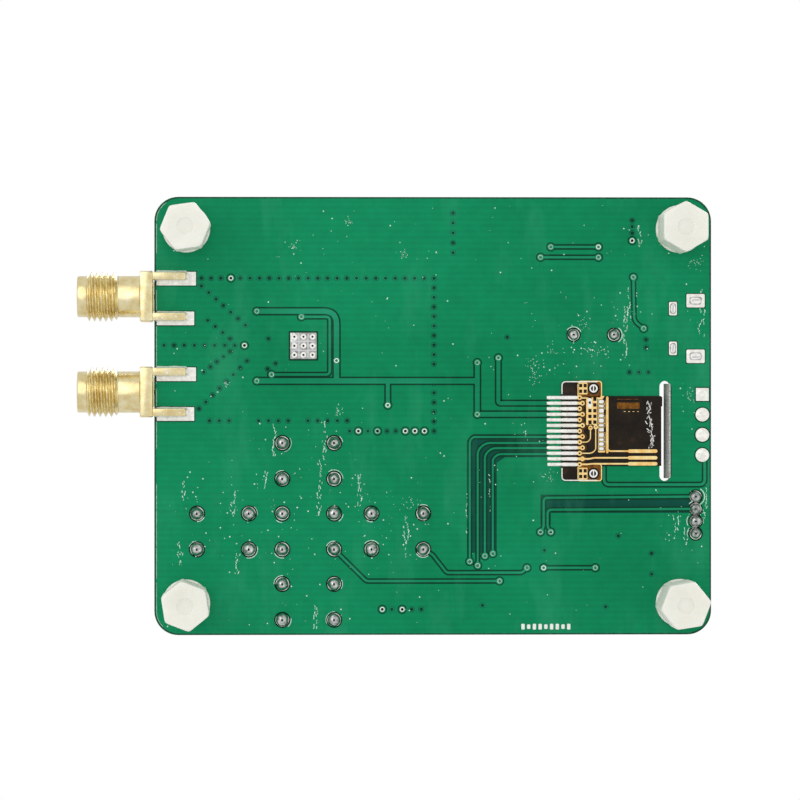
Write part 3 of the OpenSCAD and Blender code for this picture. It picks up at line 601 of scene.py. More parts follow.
def draw_pads():
    """Tinned pads with a dark mask clearance round each, and a ring of painted shade round the foot of
    each joint.
    """
    for name, z, out in FACES:
        b = Build()
        tin, gap = z + out * 0.045, z + out * 0.014
        for x, y, w, d in JACK_PADS:
            b.plate(x, y, w + 0.24, d + 0.24, 0.1, 2, z, gap, MASK_GAP)
            b.slab(x, y, w, d, z, tin, TIN, 0.06, 0.02)
        for x, y, w, d, hole_w, hole_d in USB_PADS:
            b.plate(x, y, w + 0.22, d + 0.22, 0.2, 3, z, gap, MASK_GAP)
            b.slab(x, y, w, d, z, tin, TIN, 0.16, 0.02)
            end = tin + out * 0.012
            b.plate(x, y, hole_w + 0.24, hole_d + 0.24, 0.3, 4, tin, end, SOLDER)
            b.slab(x, y, hole_w, hole_d, end, end + out * 0.03, TIN, 0.3, 0.02)
        first, *others = SPARE
        b.plate(first.x, first.y, 1.9, 1.9, 0.1, 2, z, gap, MASK_GAP)
        b.slab(first.x, first.y, 1.62, 1.62, z, tin, TIN, 0.08, 0.02)
        for at in others:
            b.ring(at.x, at.y, 0.5, 1.02, z, gap, MASK_GAP)
            b.ring(at.x, at.y, 0.3, 0.86, z, tin, TIN)
        for x, y, wide, _ in [plan(*box) for box in KEY_JOINTS + JOINTS]:
            r = wide / 2
            # Painted shade: a dark ring round the foot of the joint's solder.
            b.ring(x, y, r, r + 0.19, z, gap, PAINTED_HOLE_SHADE, 28)
            b.ring(x, y, r * 0.6, r + 0.02, z, tin, TIN, 28)
        b.done("pads_" + name, "solder")


def draw_thermal_pad():
    """The big pad under the RF chip: mottled tin and nine ringed vias."""
    b = Build()
    low, pitch = LOW_Z, 1.14
    b.plate(CHIP.x, CHIP.y, 3.7, 3.7, 0.1, 2, low, low - 0.014, MASK_GAP)
    b.slab(CHIP.x, CHIP.y, 3.3, 3.3, low - 0.05, low, SOLDER, 0.06, 0.02)
    for i in range(9):
        x, y = CHIP.x + (i % 3 - 1) * pitch, CHIP.y + (i // 3 - 1) * pitch
        b.ring(x, y, 0.14, 0.36, low, low - 0.085, TIN, 18)
        # Painted shade in the via's hole.
        b.lathe([(0.16, 0), (0.15, -0.06), (0.1, -0.055)], (x, y, low), PAINTED_HOLE_SHADE, 14)
    for cut in (-0.5 * pitch, 0.5 * pitch):
        b.plate(CHIP.x + cut, CHIP.y, 0.16, 3.0, 0.05, 2, low, low - 0.054, STEEL)
        b.plate(CHIP.x, CHIP.y + cut, 3.0, 0.16, 0.05, 2, low, low - 0.056, STEEL)
    b.done("thermal_pad_underside", "solder")


# ---------------------------------------------------------------- solder
def solder_joint(b, low, high, lead_w, lead_d, tip):
    """A cooled cone of solder up a lead, with the cut lead end showing in its top as a dark spot of
    painted shade.
    """
    x, y, wide, _ = plan(low, high)
    r, h = wide / 2, high.z - low.z
    lean = Matrix.Rotation(math.radians(rng.uniform(-5, 5)), 4, "X")
    lean @= Matrix.Rotation(math.radians(rng.uniform(-5, 5)), 4, "Y")
    full = rng.uniform(0.35, 1.0)
    profile = []
    for t in [k / 9.6 for k in range(10)]:
        dome, cone = math.sqrt(1 - t * t), (1 - t) ** 0.8 * 0.85 + 0.15
        profile.append((r * (dome * full + cone * (1 - full)), -h * t * 0.98))
    b.lathe(profile, (x, y, high.z), SOLDER, 28, turn=lean, wobble=0.1)
    # Painted shade: the dark spot on the cut lead's end.
    b.slab(x + 0.03, y, lead_w * 0.8, lead_d * 0.5, tip - 0.012, tip, PAINTED_HOLE_SHADE, 0.06, 0.004)


def draw_joints():
    b = Build()
    for low, high in KEY_JOINTS:
        solder_joint(b, low, high, 0.3, 0.62, place("key_terminals")[0].z)
    b.done("key_joints", "solder", replaces=["key_solder"])
    b = Build()
    for low, high in JOINTS:
        solder_joint(b, low, high, 0.4, 0.4, place("crystal_leads")[0].z)
    r = 0.76
    for at in SPARE:
        b.lathe([(r, 0.0), (r * 0.9, -0.05), (r * 0.55, -0.1), (r * 0.15, -0.085)],
                (at.x, at.y, LOW_Z - 0.03), TIN, 24, wobble=0.12)
    b.done("lead_joints", "solder", replaces=["lead_solder"])


def leg_fillet(b, leg, z, out, wall):
    """Solder drawn up one side of a jack's leg."""
    start, last = JACK_X - 0.32, 14
    base = leg + wall * 0.44
    rings = []
    for i in range(last + 1):
        x = start + i * (34.9 - JACK_X + 0.32) / last
        w = 0.26 * (1 + 0.35 * noise.noise(Vector((x, base, z))))
        h = 0.42 * (1 + 0.3 * noise.noise(Vector((base, x * 1.3, z))))
        if i in (0, last):
            w, h = w * 0.35, h * 0.3
        across = ((0, 0), (0, h), (w * 0.35, h * 0.45), (w, 0))
        rings.append([(x, base + wall * side, z + out * up) for side, up in across])
    b.loft(rings, TIN)


def draw_jack_fillets():
    """Solder along each jack leg and round its end, and two blobs on its face."""
    b = Build()
    for leg in [y + side * LEG_OFF for y in JACK_Y for side in SIDES]:
        for _, z, out in FACES:
            for wall in SIDES:
                leg_fillet(b, leg, z, out, wall)
            b.lathe([(0.42, 0), (0.36, 0.09), (0.24, 0.2), (0.08, 0.26)],
                    (JACK_X - 0.1, leg, z), TIN, 16, wobble=0.2, turn=flip(out))
            for _ in range(2):
                r = rng.uniform(0.06, 0.13)
                at = (rng.uniform(JACK_X + 0.4, 34.6), leg + rng.uniform(-0.2, 0.2), z + out * 0.985)
                b.lathe([(r, 0.0), (r * 0.7, 0.028), (r * 0.2, 0.034)], at, TIN, 12,
                        wobble=0.5, turn=flip(out))
    b.done("jack_fillets", "solder", replaces=["jack_solder"])


# Where the flux dried: (x, y, length) of streaks and (x, y, radius) of swirls.
STREAKS = [
    (21.1, -8.0, 2.2), (14.2, -9.0, 7.0), (31.2, -9.3, 2.6), (31.8, -17.2, 3.0), (24.9, -18.5, 2.6),
    (20.1, -3.0, 4.0), (9.2, -9.3, 4.0), (3.4, -15.0, 5.5), (14.8, -25.2, 3.0), (13.8, -3.0, 5.0),
    (25.0, -11.0, 3.2), (-24.0, 10.6, 6.6), (-24.75, 14.6, 4.6), (-30.6, -13.4, 3.2),
    (-31.7, -14.6, 2.0), (-11.9, -3.0, 2.4), (-4.2, -12.0, 6.0), (-7.1, -9.0, 6.0),
    (-26.0, 22.6, 2.6), (-34.4, -10.0, 7.0), (-33.9, 13.0, 6.0),
]
SWIRLS = [
    (-13.0, 4.9, 1.2), (-12.4, 6.6, 1.0), (-15.5, 8.0, 1.3), (-18.8, 11.7, 1.0), (-21.4, 8.3, 1.2),
    (-19.4, 8.0, 1.0), (10.6, 24.4, 0.5), (17.6, 21.2, 0.4), (3.6, 20.3, 0.4), (26.0, 4.0, 0.4),
    (12.0, 0.6, 0.6), (-33.2, 19.2, 0.8), (-32.4, 2.6, 0.8), (-14.4, -7.6, 1.2), (3.0, -11.0, 1.4),
]



# How far out each kind of mark may start, so that none reaches past the board's edge.
STREAK_REACH, SWIRL_REACH, SPECK_REACH = (34.6, 27.0), (34.4, 26.9), (34.3, 26.8)
STREAK_STEP, STREAK_GAPS = 0.3, 0.38
SWIRL_MARKS, SPECKS = 16, 620


def draw_flux():
    """Dried flux: specks over the board, streaks and curls where it was brushed, and round each joint a
    pale arc of flux rim with its glint painted in.
    """
    b = Build()
    z = LOW_Z - 0.012
    spots = [plan(*box)[:2] for box in KEY_JOINTS + JOINTS]
    # Painted highlight: a pale arc round each joint stands for the glint off the flux rim there.
    for x, y in spots:
        start = rng.uniform(0, 360)
        r = 1.06 + rng.uniform(-0.06, 0.1)
        path = arc(x, y, r, start, start + rng.uniform(35, 130), 8)
        b.band(path, rng.uniform(0.05, 0.12), LOW_Z, z - 0.012, FLUX_AND_GLINT)
    for x, y, run in STREAKS:
        for strand in range(2):
            dx = rng.uniform(-0.35, 0.35)
            steps = int(run / STREAK_STEP)
            for t in [i / steps for i in range(steps)]:
                if rng.random() < STREAK_GAPS:
                    continue
                sway = 0.5 * noise.noise(Vector((x, t * run * 0.6, strand * 4.0)))
                at = Vector((x + dx + sway, y + run * (t - 0.5)))
                turn = at + Vector((rng.uniform(-0.14, 0.14), rng.uniform(0.12, 0.32)))
                if abs(at.x) <= STREAK_REACH[0] and abs(at.y) <= STREAK_REACH[1]:
                    b.band([at, turn], rng.uniform(0.04, 0.1), LOW_Z, z - 0.002 * strand, FLUX_AND_GLINT)
    for x, y, r in SWIRLS:
        for _ in range(SWIRL_MARKS):
            at = Vector((x + rng.gauss(0, r / 2), y + rng.gauss(0, r / 2)))
            if abs(at.x) < SWIRL_REACH[0] and abs(at.y) < SWIRL_REACH[1]:
                turn = at + Vector((rng.uniform(-0.12, 0.12), rng.uniform(-0.12, 0.12)))
                b.band([at, turn], rng.uniform(0.03, 0.07), LOW_Z, z - 0.01, FLUX_AND_GLINT)
    centres = [(x, y) for x, y, _ in STREAKS + SWIRLS] + spots
    for i in range(SPECKS):
        if i % 3:
            x, y = rng.choice(centres)
            x, y = x + rng.gauss(0, 1.3), y + rng.gauss(0, 1.5)
        else:
            x, y = rng.uniform(-34, 34), rng.uniform(-26.5, 26.5)
        r = rng.choice((0.03, 0.04, 0.05, 0.07, 0.1))
        on_tail = -30.2 < x < -14 and -8.5 < y < 4.8
        if abs(x) < SPECK_REACH[0] and abs(y) < SPECK_REACH[1] and not on_tail:
            b.lathe([(r, 0), (r * 0.8, -0.02), (r * 0.3, -0.03)], (x, y, LOW_Z), FLUX_AND_GLINT, 7)
    b.done("flux_traces", "solder_mask")


def draw_board_rim():
    """The routed edge: a dark line of painted shade round the outline, with pale dashes on the jacks'
    side.
    """
    b = Build()
    rim = rounded(0, 0, BOARD_W - 0.2, BOARD_D - 0.2, CORNER_R, 8)
    b.band(rim + rim[:1], 0.19, LOW_Z, LOW_Z - 0.006, PAINTED_EDGE_SHADE)
    inset, dash = 0.27, 4
    x, y = BOARD_W / 2, BOARD_D / 2
    edge = rounded(0, 0, 2 * (x - inset), 2 * (y - inset), CORNER_R - inset, 8)
    for a, c in zip(edge, edge[1:] + edge[:1]):
        a, c = Vector(a), Vector(c)
        count = max(1, int((c - a).length / dash))
        for k in range(count):
            if a.x < x - 1.2 or (count > 1 and rng.random() < 0.2):
                continue
            p, q = a.lerp(c, k / count), a.lerp(c, (k + rng.uniform(0.8, 0.98)) / count)
            b.band([p, q], 0.07, LOW_Z, LOW_Z - 0.01, VIA_RIM)
    b.done("board_edge_line", "solder_mask")


def draw_under_legend():
    """Plain ink blocks where the maker's batch code stood."""
    b = Build()
    for k in range(9):
        height = 0.72 - 0.16 * (k % 3 == 1)
        b.slab(-11.3 - 0.72 * k, -26.5, 0.42, height, LOW_Z - 0.02, LOW_Z, INK, 0.1, 0.006)
    b.done("underside_legend", "solder_mask")


draw_routes("underside", ROUTES, BARE_FIELDS, LOW_Z, -1, 0.012)
draw_vias()
draw_pads()
draw_thermal_pad()
draw_joints()
draw_jack_fillets()
draw_flux()
draw_board_rim()
draw_under_legend()


# ---------------------------------------------------------------- display tail
TAIL_LOW, TAIL_HIGH = place("display_flex")
TAIL_FACE = TAIL_LOW.z
TAIL_Y = (TAIL_LOW.y + TAIL_HIGH.y) / 2
HEAD_X = -21.2
NECK_WIDE = 8.8
NECK_THICK = 0.1
NECK_LOW = TAIL_Y - NECK_WIDE / 2


def tail_path():
    """The film's middle line in (x, z): out of the display, down the slot, under the board."""
    wall = TAIL_LOW.x + 0.06
    top, low = TAIL_HIGH.z - 0.06, TAIL_FACE + 0.06
    path = [(TAIL_LOW.x + 2.4, top), (wall + 0.5, top)]
    path += arc(wall + 0.3, top - 0.3, 0.3, 90, 180, 6)
    path += [(wall, 11.0), (wall, low + 0.3)]
    path += arc(wall + 0.22, low + 0.22, 0.22, 180, 270, 6)
    for t in [i / 15 for i in range(1, 15)]:
        sag = 0.05 * math.sin(math.pi * t) + 0.02 * noise.noise(Vector((t * 9, 0, 0)))
        path.append((wall + 0.22 + (HEAD_X + 0.4 - wall - 0.22) * t, low - sag))
    return path + [(HEAD_X + 0.4, low)]


def draw_tail():
    """One bent strip of film for the neck, and the wide soldered head."""
    b = Build()
    path, rings, rows = tail_path(), [], 13
    for i, (x, z) in enumerate(path):
        d = (Vector(path[min(i + 1, len(path) - 1)]) - Vector(path[max(i - 1, 0)])).normalized()
        n = Vector((-d.y, d.x)) * NECK_THICK / 2
        ring = []
        for side, order in ((1, range(rows)), (-1, reversed(range(rows)))):
            for k in order:
                y = NECK_LOW + NECK_WIDE * k / (rows - 1)
                on_face = max(0.0, min(1.0, (x - TAIL_LOW.x - 0.9) / 2)) * (z < LOW_Z)
                ripple = 0.02 * noise.noise(Vector((x * 1.6, y * 0.9, 2.0))) * on_face
                ring.append((x + n.x * side, y, z + n.y * side + ripple))
        rings.append(ring)
    b.loft(rings, FILM)
    head_w = TAIL_HIGH.x - HEAD_X
    b.slab((TAIL_HIGH.x + HEAD_X) / 2, TAIL_Y, head_w, TAIL_HIGH.y - TAIL_LOW.y,
           TAIL_FACE, TAIL_FACE + 0.12, FILM, 0.55, 0.02, steps=6)
    b.prism([(-28.5, 2.4), (-28.85, 2.4), (-28.85, 1.2), (-28.5, 1.2)], 9.96, 10.0, FILM)
    b.done("display_tail_film", "polyimide", replaces=["display_flex"])


def draw_tail_copper():
    """Gold traces, windows and via rings under the film's clear parts."""
    b = Build()
    z = TAIL_FACE
    top = z - 0.014
    pale, gold = z - 0.01, z - 0.012

    for side in (1, -1):
        ear = TAIL_Y + side * 5.2
        rim = TAIL_Y + side * 6.2
        corner = TAIL_HIGH.x - 0.1
        path = [(-20.6, rim), (corner, rim), (corner, rim - side * 1.5)]
        b.band(fillet(path, 0.5), 0.13, z, top, TIN)
        b.plate(-19.66, ear - side * 0.02, 2.9, 2.05, 0.3, 3, z, pale, AMBER)
        outline = rounded(-19.7, ear, 2.95, 2.1, 0.3, 3)
        b.band(outline + outline[:1], 0.14, z, gold, COPPER)
        b.plate(-18.83, ear + side * 0.16, 1.15, 1.5, 0.1, 2, z, gold, COPPER)
        for cell in range(4):
            b.slab(-18.55 - 0.57 * (cell % 2), ear + side * (0.52 - 0.72 * (cell // 2)), 0.4, 0.44,
                   top - 0.004, z, FILM, 0.05, 0.01)
        hx, hy = -20.17, ear + side * 0.15
        b.ring(hx, hy, 0.5, 0.74, z, top - 0.006, FILM, 28)
        b.ring(hx, hy, 0.33, 0.52, z, top - 0.012, INK, 28)
        b.lathe([(0.35, 0), (0.34, -0.01)], (hx, hy, top), FILM, 24)
        b.band([(hx, hy - 0.34), (hx, hy + 0.34)], 0.14, z, top - 0.02, INK)

    for i, at in enumerate(FINGERS):
        ring_x = -18.42 - 0.36 * (i % 2)
        b.band([(-18.0, at.y), (ring_x, at.y)], 0.34, z, gold, COPPER)
        b.ring(ring_x, at.y, 0.12, 0.3, z, top - 0.01, COPPER, 20)
        b.lathe([(0.13, 0), (0.11, -0.006)], (ring_x, at.y, top - 0.004), FILM, 12)
        b.band(arc(ring_x, at.y, 0.46, 110, 250, 10), 0.08, z, pale - 0.001, AMBER)

    # The lattice beside the rings: gold lines with dark cells between them.
    b.plate(-19.95, 0.65, 1.4, 3.6, 0.1, 2, z, pale, COPPER)
    for k in range(5):
        for x in (-19.72, -20.34):
            b.slab(x, 2.1 - 0.72 * k, 0.42, 0.44, top - 0.004, z, FILM, 0.05, 0.01)
    b.band([(-19.7, 2.0), (-19.7, 1.3)], 0.5, z, top - 0.008, INK)
    b.slab(-19.7, 1.68, 0.28, 0.3, top - 0.014, z, FILM, 0.04, 0.004)

    loop = [(-18.8, FINGERS[8].y), (-19.4, FINGERS[8].y), (-19.79, -2.9), (-19.79, -1.55)]
    b.band(fillet(loop, 0.5), 0.13, z, top, COPPER)
    b.ring(-19.79, -1.5, 0.12, 0.28, z, top - 0.01, COPPER, 20)
    b.band(arc(-19.79, -1.5, 0.47, 20, 170, 10), 0.09, z, top - 0.002, AMBER)
    riser = [(-18.8, FINGERS[10].y), (-19.9, FINGERS[10].y), (-20.45, -4.3), (-20.45, -1.45)]
    b.band(fillet(riser, 0.5), 0.14, z, top, COPPER)
    b.ring(-20.45, -1.4, 0.12, 0.28, z, top - 0.01, COPPER, 20)

    # Plain ink blocks stand where the maker's lettering was.
    b.plate(-21.2, -1.05, 0.9, 7.1, 0.1, 2, z, pale, COPPER)
    y = 2.0
    for size in (0.42, 0.3, 0.5, 0.36, 0.5, 0.3, 0.44, 0.5, 0.3, 0.42, 0.36):
        b.slab(-21.2, y - size / 2, 0.78, size + 0.12, top - 0.002, z, FILM, 0.05, 0.004)
        b.slab(-21.16, y - size / 2, 0.6, size, top - 0.008, z, INK, 0.1, 0.01)
        y -= size + 0.19
    b.band([(-21.9, 2.3), (-21.9, -4.55)], 0.3, z, top - 0.07, COPPER)

    lines = [
        [(-21.9, -4.2), (-22.2, -4.43), (-24.7, -4.43)],
        [(-18.4, FINGERS[11].y), (-19.7, FINGERS[11].y), (-20.2, -5.27), (-24.7, -5.27)],
        [(-18.8, FINGERS[12].y), (-19.4, FINGERS[12].y), (-19.9, -6.02), (-24.7, -6.02)],
    ]
    for line in lines:
        end = line[-1]
        b.band(fillet(line, 0.3), 0.2, z - 0.03, top - 0.045, COPPER)
        b.band([end, (-28.0, end[1])], 0.44, z - 0.02, top - 0.075, COPPER)
    b.done("display_tail_copper", "polyimide")

    # The amber window and its thin line, with painted highlights: copper dots under the window and
    # white flecks along the crease.
    b = Build()
    b.plate(-24.55, 1.29, 2.85, 0.78, 0.08, 2, z, z - 0.075, AMBER)
    b.band([(-23.2, 2.1), (-25.8, 2.1)], 0.07, z, z - 0.075, AMBER)
    # Painted highlights: four small copper dots under the window.
    for k in range(4):
        b.plate(-24.1 - 0.55 * k, 0.55, 0.22, 0.07, 0.02, 2, z, z - 0.075, COPPER)
    # Painted highlights: white flecks along the film's crease where it bows into the slot.
    for t in [k / 45 for k in range(46)]:
        x = -27.05 - 0.55 * t + rng.gauss(0, 0.2)
        y = 1.7 - 6.0 * t + rng.gauss(0, 0.1)
        run = [(x + rng.uniform(-0.14, 0.14), y + rng.uniform(-0.3, 0.3)) for _ in range(2)]
        b.band(fillet([run[0], (x, y), run[1]], 0.1, 2), rng.uniform(0.04, 0.12),
               z, z - 0.07, PAINTED_GLINT)
    b.done("display_tail_window_and_glints", "polyimide")


def draw_tail_fingers():
    """Thirteen tinned fingers, each a soft ridge of solder with thin and thick places."""
    b = Build()
    for i, at in enumerate(FINGERS):
        # The last two fingers are a little shorter.
        short = 0.08 if i > 10 else 0.0
        rings, steps = [], 22
        for k in range(steps + 1):
            x = FINGER_END - short - (3.85 - short) * k / steps
            end = min(1.0, k / 1.2, (steps - k) / 1.2)
            swell = noise.noise(Vector((x * 1.3, at.y * 3.1, 5)))
            w = 0.22 * (1 + 0.1 * swell) * (0.86 + 0.14 * end)
            base = LOW_Z if x > TAIL_HIGH.x else TAIL_FACE
            crest = 9.78 - 0.02 * swell if x <= TAIL_HIGH.x + 0.3 else 9.84 - 0.03 * swell
            crest = base + (crest - base) * (0.4 + 0.6 * end)
            half = [(w, base), (w * 0.85, base + (crest - base) * 0.6), (w * 0.35, crest)]
            rings.append([(x, at.y - off, z) for off, z in half]
                         + [(x, at.y + off, z) for off, z in half[::-1]])
        b.loft(rings, TIN)
    b.done("display_tail_fingers", "solder", replaces=["flex_solder"])


def draw_slot_wall():
    """The milled slot's far wall, tapered and rough, with bright specks of painted highlight along its
    foot and a line of painted shade along the slot's edge.
    """
    b = Build()
    low_x, cy, length, rings = -29.9, TAIL_Y, 11.9, []
    half = length / 2
    for k in range(40):
        y = cy - half + length * k / 39
        bite = 0.05 * noise.noise(Vector((y * 2.3, 0, 0)))
        rings.append([(low_x - 0.02, y, LOW_Z + 0.02), (low_x + 0.14 + bite, y, LOW_Z + 0.02),
                      (low_x + 0.72 + bite, y, TOP_Z - 0.35), (low_x + 0.76, y, TOP_Z - 0.05),
                      (low_x - 0.02, y, TOP_Z - 0.05)])
    b.loft(rings, SLOT_EDGE)
    edge = low_x - 0.07
    # Painted shade: a dark band along the slot's edge.
    b.band([(edge, cy - half + 0.3), (edge, cy + half - 0.3)], 0.13, LOW_Z, LOW_Z - 0.012, PAINTED_EDGE_SHADE)
    # Painted highlights: bright specks along the foot of the wall.
    for _ in range(70):
        y = cy + rng.uniform(-half, half)
        r = rng.uniform(0.03, 0.07)
        b.lathe([(r, 0), (r * 0.7, -0.03), (r * 0.2, -0.04)],
                (low_x + 0.16 + rng.uniform(-0.05, 0.04), y, LOW_Z + 0.03), PAINTED_GLINT, 6)
    b.done("slot_wall", "solder_mask")


draw_tail()
draw_tail_copper()
draw_tail_fingers()
draw_slot_wall()


# ---------------------------------------------------------------- jacks
THREAD_PITCH = 0.706
# Where each flange's back face stands, just clear of the board's edge.
FLANGE_X = 35.2


def threaded(b, centre, turn, start, stop, core, crest, mat, steps):
    """A screw thread: the radius follows a rounded ridge that climbs round the axis."""
    rings = []
    count = int(round((stop - start) / (THREAD_PITCH / 10)))
    for i in range(count + 1):
        h = start + (stop - start) * i / count
        run = min(1.0, (h - start) / 0.35, (stop - h) / 0.35)
        ring = []
        for k in range(steps):
            a = 2 * math.pi * k / steps
            phase = ((h - start) / THREAD_PITCH - k / steps) % 1.0
            ridge = max(0.0, 1 - abs(phase - 0.5) * 2.5)
            r = core + (crest - core) * min(1.0, ridge * 1.15) * max(run, 0.0)
            ring.append((r * math.cos(a), r * math.sin(a), h))
        rings.append(ring)
    b.loft(rings, mat, cap=False, turn=Matrix.Translation(centre) @ turn)


def draw_jack(number):
    low, high = place(f"jack_{number}_shell")
    y = JACK_Y[number - 1]
    centre = (0, y, JACK_Z)
    turn = Matrix.Rotation(math.radians(90), 4, "Y")
    back, front = FLANGE_X, high.x
    bore_end = place(f"jack_{number}_insulator")[1].x
    b = Build()
    flange = [(-0.16, back), (-0.05, back + 0.05), (0, back + 0.16), (0, back + 1.44),
              (-0.05, back + 1.55), (-0.16, back + 1.6)]
    b.stack(lambda grow: rounded(0, 0, 6.35 + 2 * grow, 6.35 + 2 * grow, 0.25, 4),
            flange, GOLD, turn=Matrix.Translation(centre) @ turn)
    barrel = [(2.2, back + 1.5), (2.75, back + 1.6), (2.62, back + 1.72), (2.6, back + 1.9),
              (2.6, back + 4.25), (2.5, back + 4.45), (2.5, back + 4.6)]
    b.lathe(barrel, centre, GOLD, 56, turn=turn, cap=False)
    threaded(b, centre, turn, back + 4.35, front - 1.15, 2.6, 3.12, GOLD, 48)
    nose = [(2.5, front - 1.3), (2.58, front - 1.2), (2.58, front - 0.14), (2.5, front - 0.03),
            (2.44, front), (2.38, front - 0.01), (2.3, front - 0.12), (2.3, bore_end + 0.02),
            (2.08, bore_end - 0.05), (2.05, bore_end - 0.4)]
    b.lathe(nose, centre, GOLD, 56, turn=turn, cap=False)
    for side in SIDES:
        for z0, z1 in ((low.z + 0.2, LOW_Z - 0.02), (TOP_Z + 0.02, TOP_Z + 1.0)):
            b.slab((JACK_X + back + 0.1) / 2, y + side * LEG_OFF, back + 0.1 - JACK_X, 0.94, z0, z1,
                   GOLD, 0.12, 0.09)
    b.slab(back - 0.06, y, 0.16, 3.6, low.z + 1.2, low.z + 4.6, GOLD, 0.04, 0.03)
    b.done(f"jack_{number}_body", "gold_plate", replaces=[f"jack_{number}_shell"])


# ---------------------------------------------------------------- feet and screws
FOOT_TURN = [52, 30, 21, 51]
FOOT_FLAT = 2.77
FOOT_SIDES = 96
ROUND = 9.0
HEAD_R = 2.75
SLOT_HALF = 0.45


def hex_ring(x, y, z, limit, turn, flat):
    """One level of a hexagonal post, its corners trimmed by a circle of radius limit.

    Where flat is ROUND, far outside the circle, the level is a plain circle.
    """
    ring = []
    for k in range(FOOT_SIDES):
        a = 360 * k / FOOT_SIDES
        side = flat / math.cos(math.radians((a - turn) % 60 - 30))
        r = (side ** -60 + limit ** -60) ** (-1 / 60)
        ring.append((x + r * math.cos(math.radians(a)), y + r * math.sin(math.radians(a)), z))
    return ring


def draw_foot(number):
    """A hexagonal post: its dished end, its sides, a round collar, and the screw's hole."""
    at = middle(f"foot_{number}")
    # Each level is (round limit, z, how much smaller than nominal across the flats).
    dish = [(0.3, 0.2), (0.82, 0.2), (0.98, 0.15), (1.06, 0.04), (1.16, 0.0)]
    sides = [
        (2.6, 0.0, 0.2), (2.7, 0.0, 0.12), (2.86, 0.02, 0.07), (2.98, 0.07, 0.03),
        (3.08, 0.17, 0.01), (3.14, 0.3, 0), (3.16, 0.7, 0), (3.17, 2.0, 0), (3.17, 4.5, 0),
        (3.17, 7.0, 0), (3.17, 9.1, 0), (3.1, 9.22, -0.02),
    ]
    collar = [(2.96, 9.28), (3.0, 9.36), (3.0, 9.5), (3.0, 9.9), (2.94, 9.98), (1.56, 9.98),
              (1.5, 9.9), (1.5, 3.6), (1.3, 3.5)]
    levels = [(limit, z, ROUND) for limit, z in dish]
    levels += [(limit, z, FOOT_FLAT - less) for limit, z, less in sides]
    levels += [(limit, z, ROUND) for limit, z in collar]
    b = Build()
    b.loft([hex_ring(at.x, at.y, z, limit, FOOT_TURN[number - 1], flat)
            for limit, z, flat in levels], NYLON)
    b.done(f"foot_{number}_post", "nylon", replaces=[f"foot_{number}"], soft=24)


def draw_screws():
    """Slotted cheese-head screws, with a rolled shank inside each foot."""
    b = Build()
    start = math.degrees(math.asin(SLOT_HALF / HEAD_R))
    outline = arc(0, 0, HEAD_R, start, 180 - start, 22)
    for low, high in islands("corner_screws"):
        x, y = plan(low, high)[:2]
        top = high.z
        levels = [(0, TOP_Z + 0.02), (0, top - 0.3), (-0.05, top - 0.12), (-0.2, top)]
        for side in SIDES:
            def crescent(grow):
                k = (HEAD_R + grow) / HEAD_R
                return [(x + px * k, y + side * max(py * k, SLOT_HALF)) for px, py in outline]

            b.stack(crescent, levels, NYLON)
        b.lathe([(2.7, TOP_Z + 0.02), (2.7, top - 1.0)], (x, y, 0), NYLON, 40)
        b.lathe([(1.2, low.z), (1.4, low.z + 0.2), (1.44, low.z + 0.4), (1.44, TOP_Z + 0.1)],
                (x, y, 0), NYLON, 28)
    b.done("corner_screw_set", "nylon", replaces=["corner_screws"])


for jack in (1, 2):
    draw_jack(jack)
for foot in (1, 2, 3, 4):
    draw_foot(foot)
draw_screws()


# ---------------------------------------------------------------- keys
# Room under each stem for its 0.25 mm of travel, so it never cuts the snap dome.
STEM_GAP = 0.27
# A round opening starts its points this many places on, to line up with the square round it.
OPENING_TURN = 8


def frame_rings(sheet, outer, opening, inner):
    """Rings down the outside of a square frame and up through its round opening."""
    rings = [at_height(sheet(grow), z) for grow, z in outer]
    for grow, z in inner:
        ring = at_height(opening(grow), z)
        rings.append(ring[OPENING_TURN:] + ring[:OPENING_TURN])
    return rings


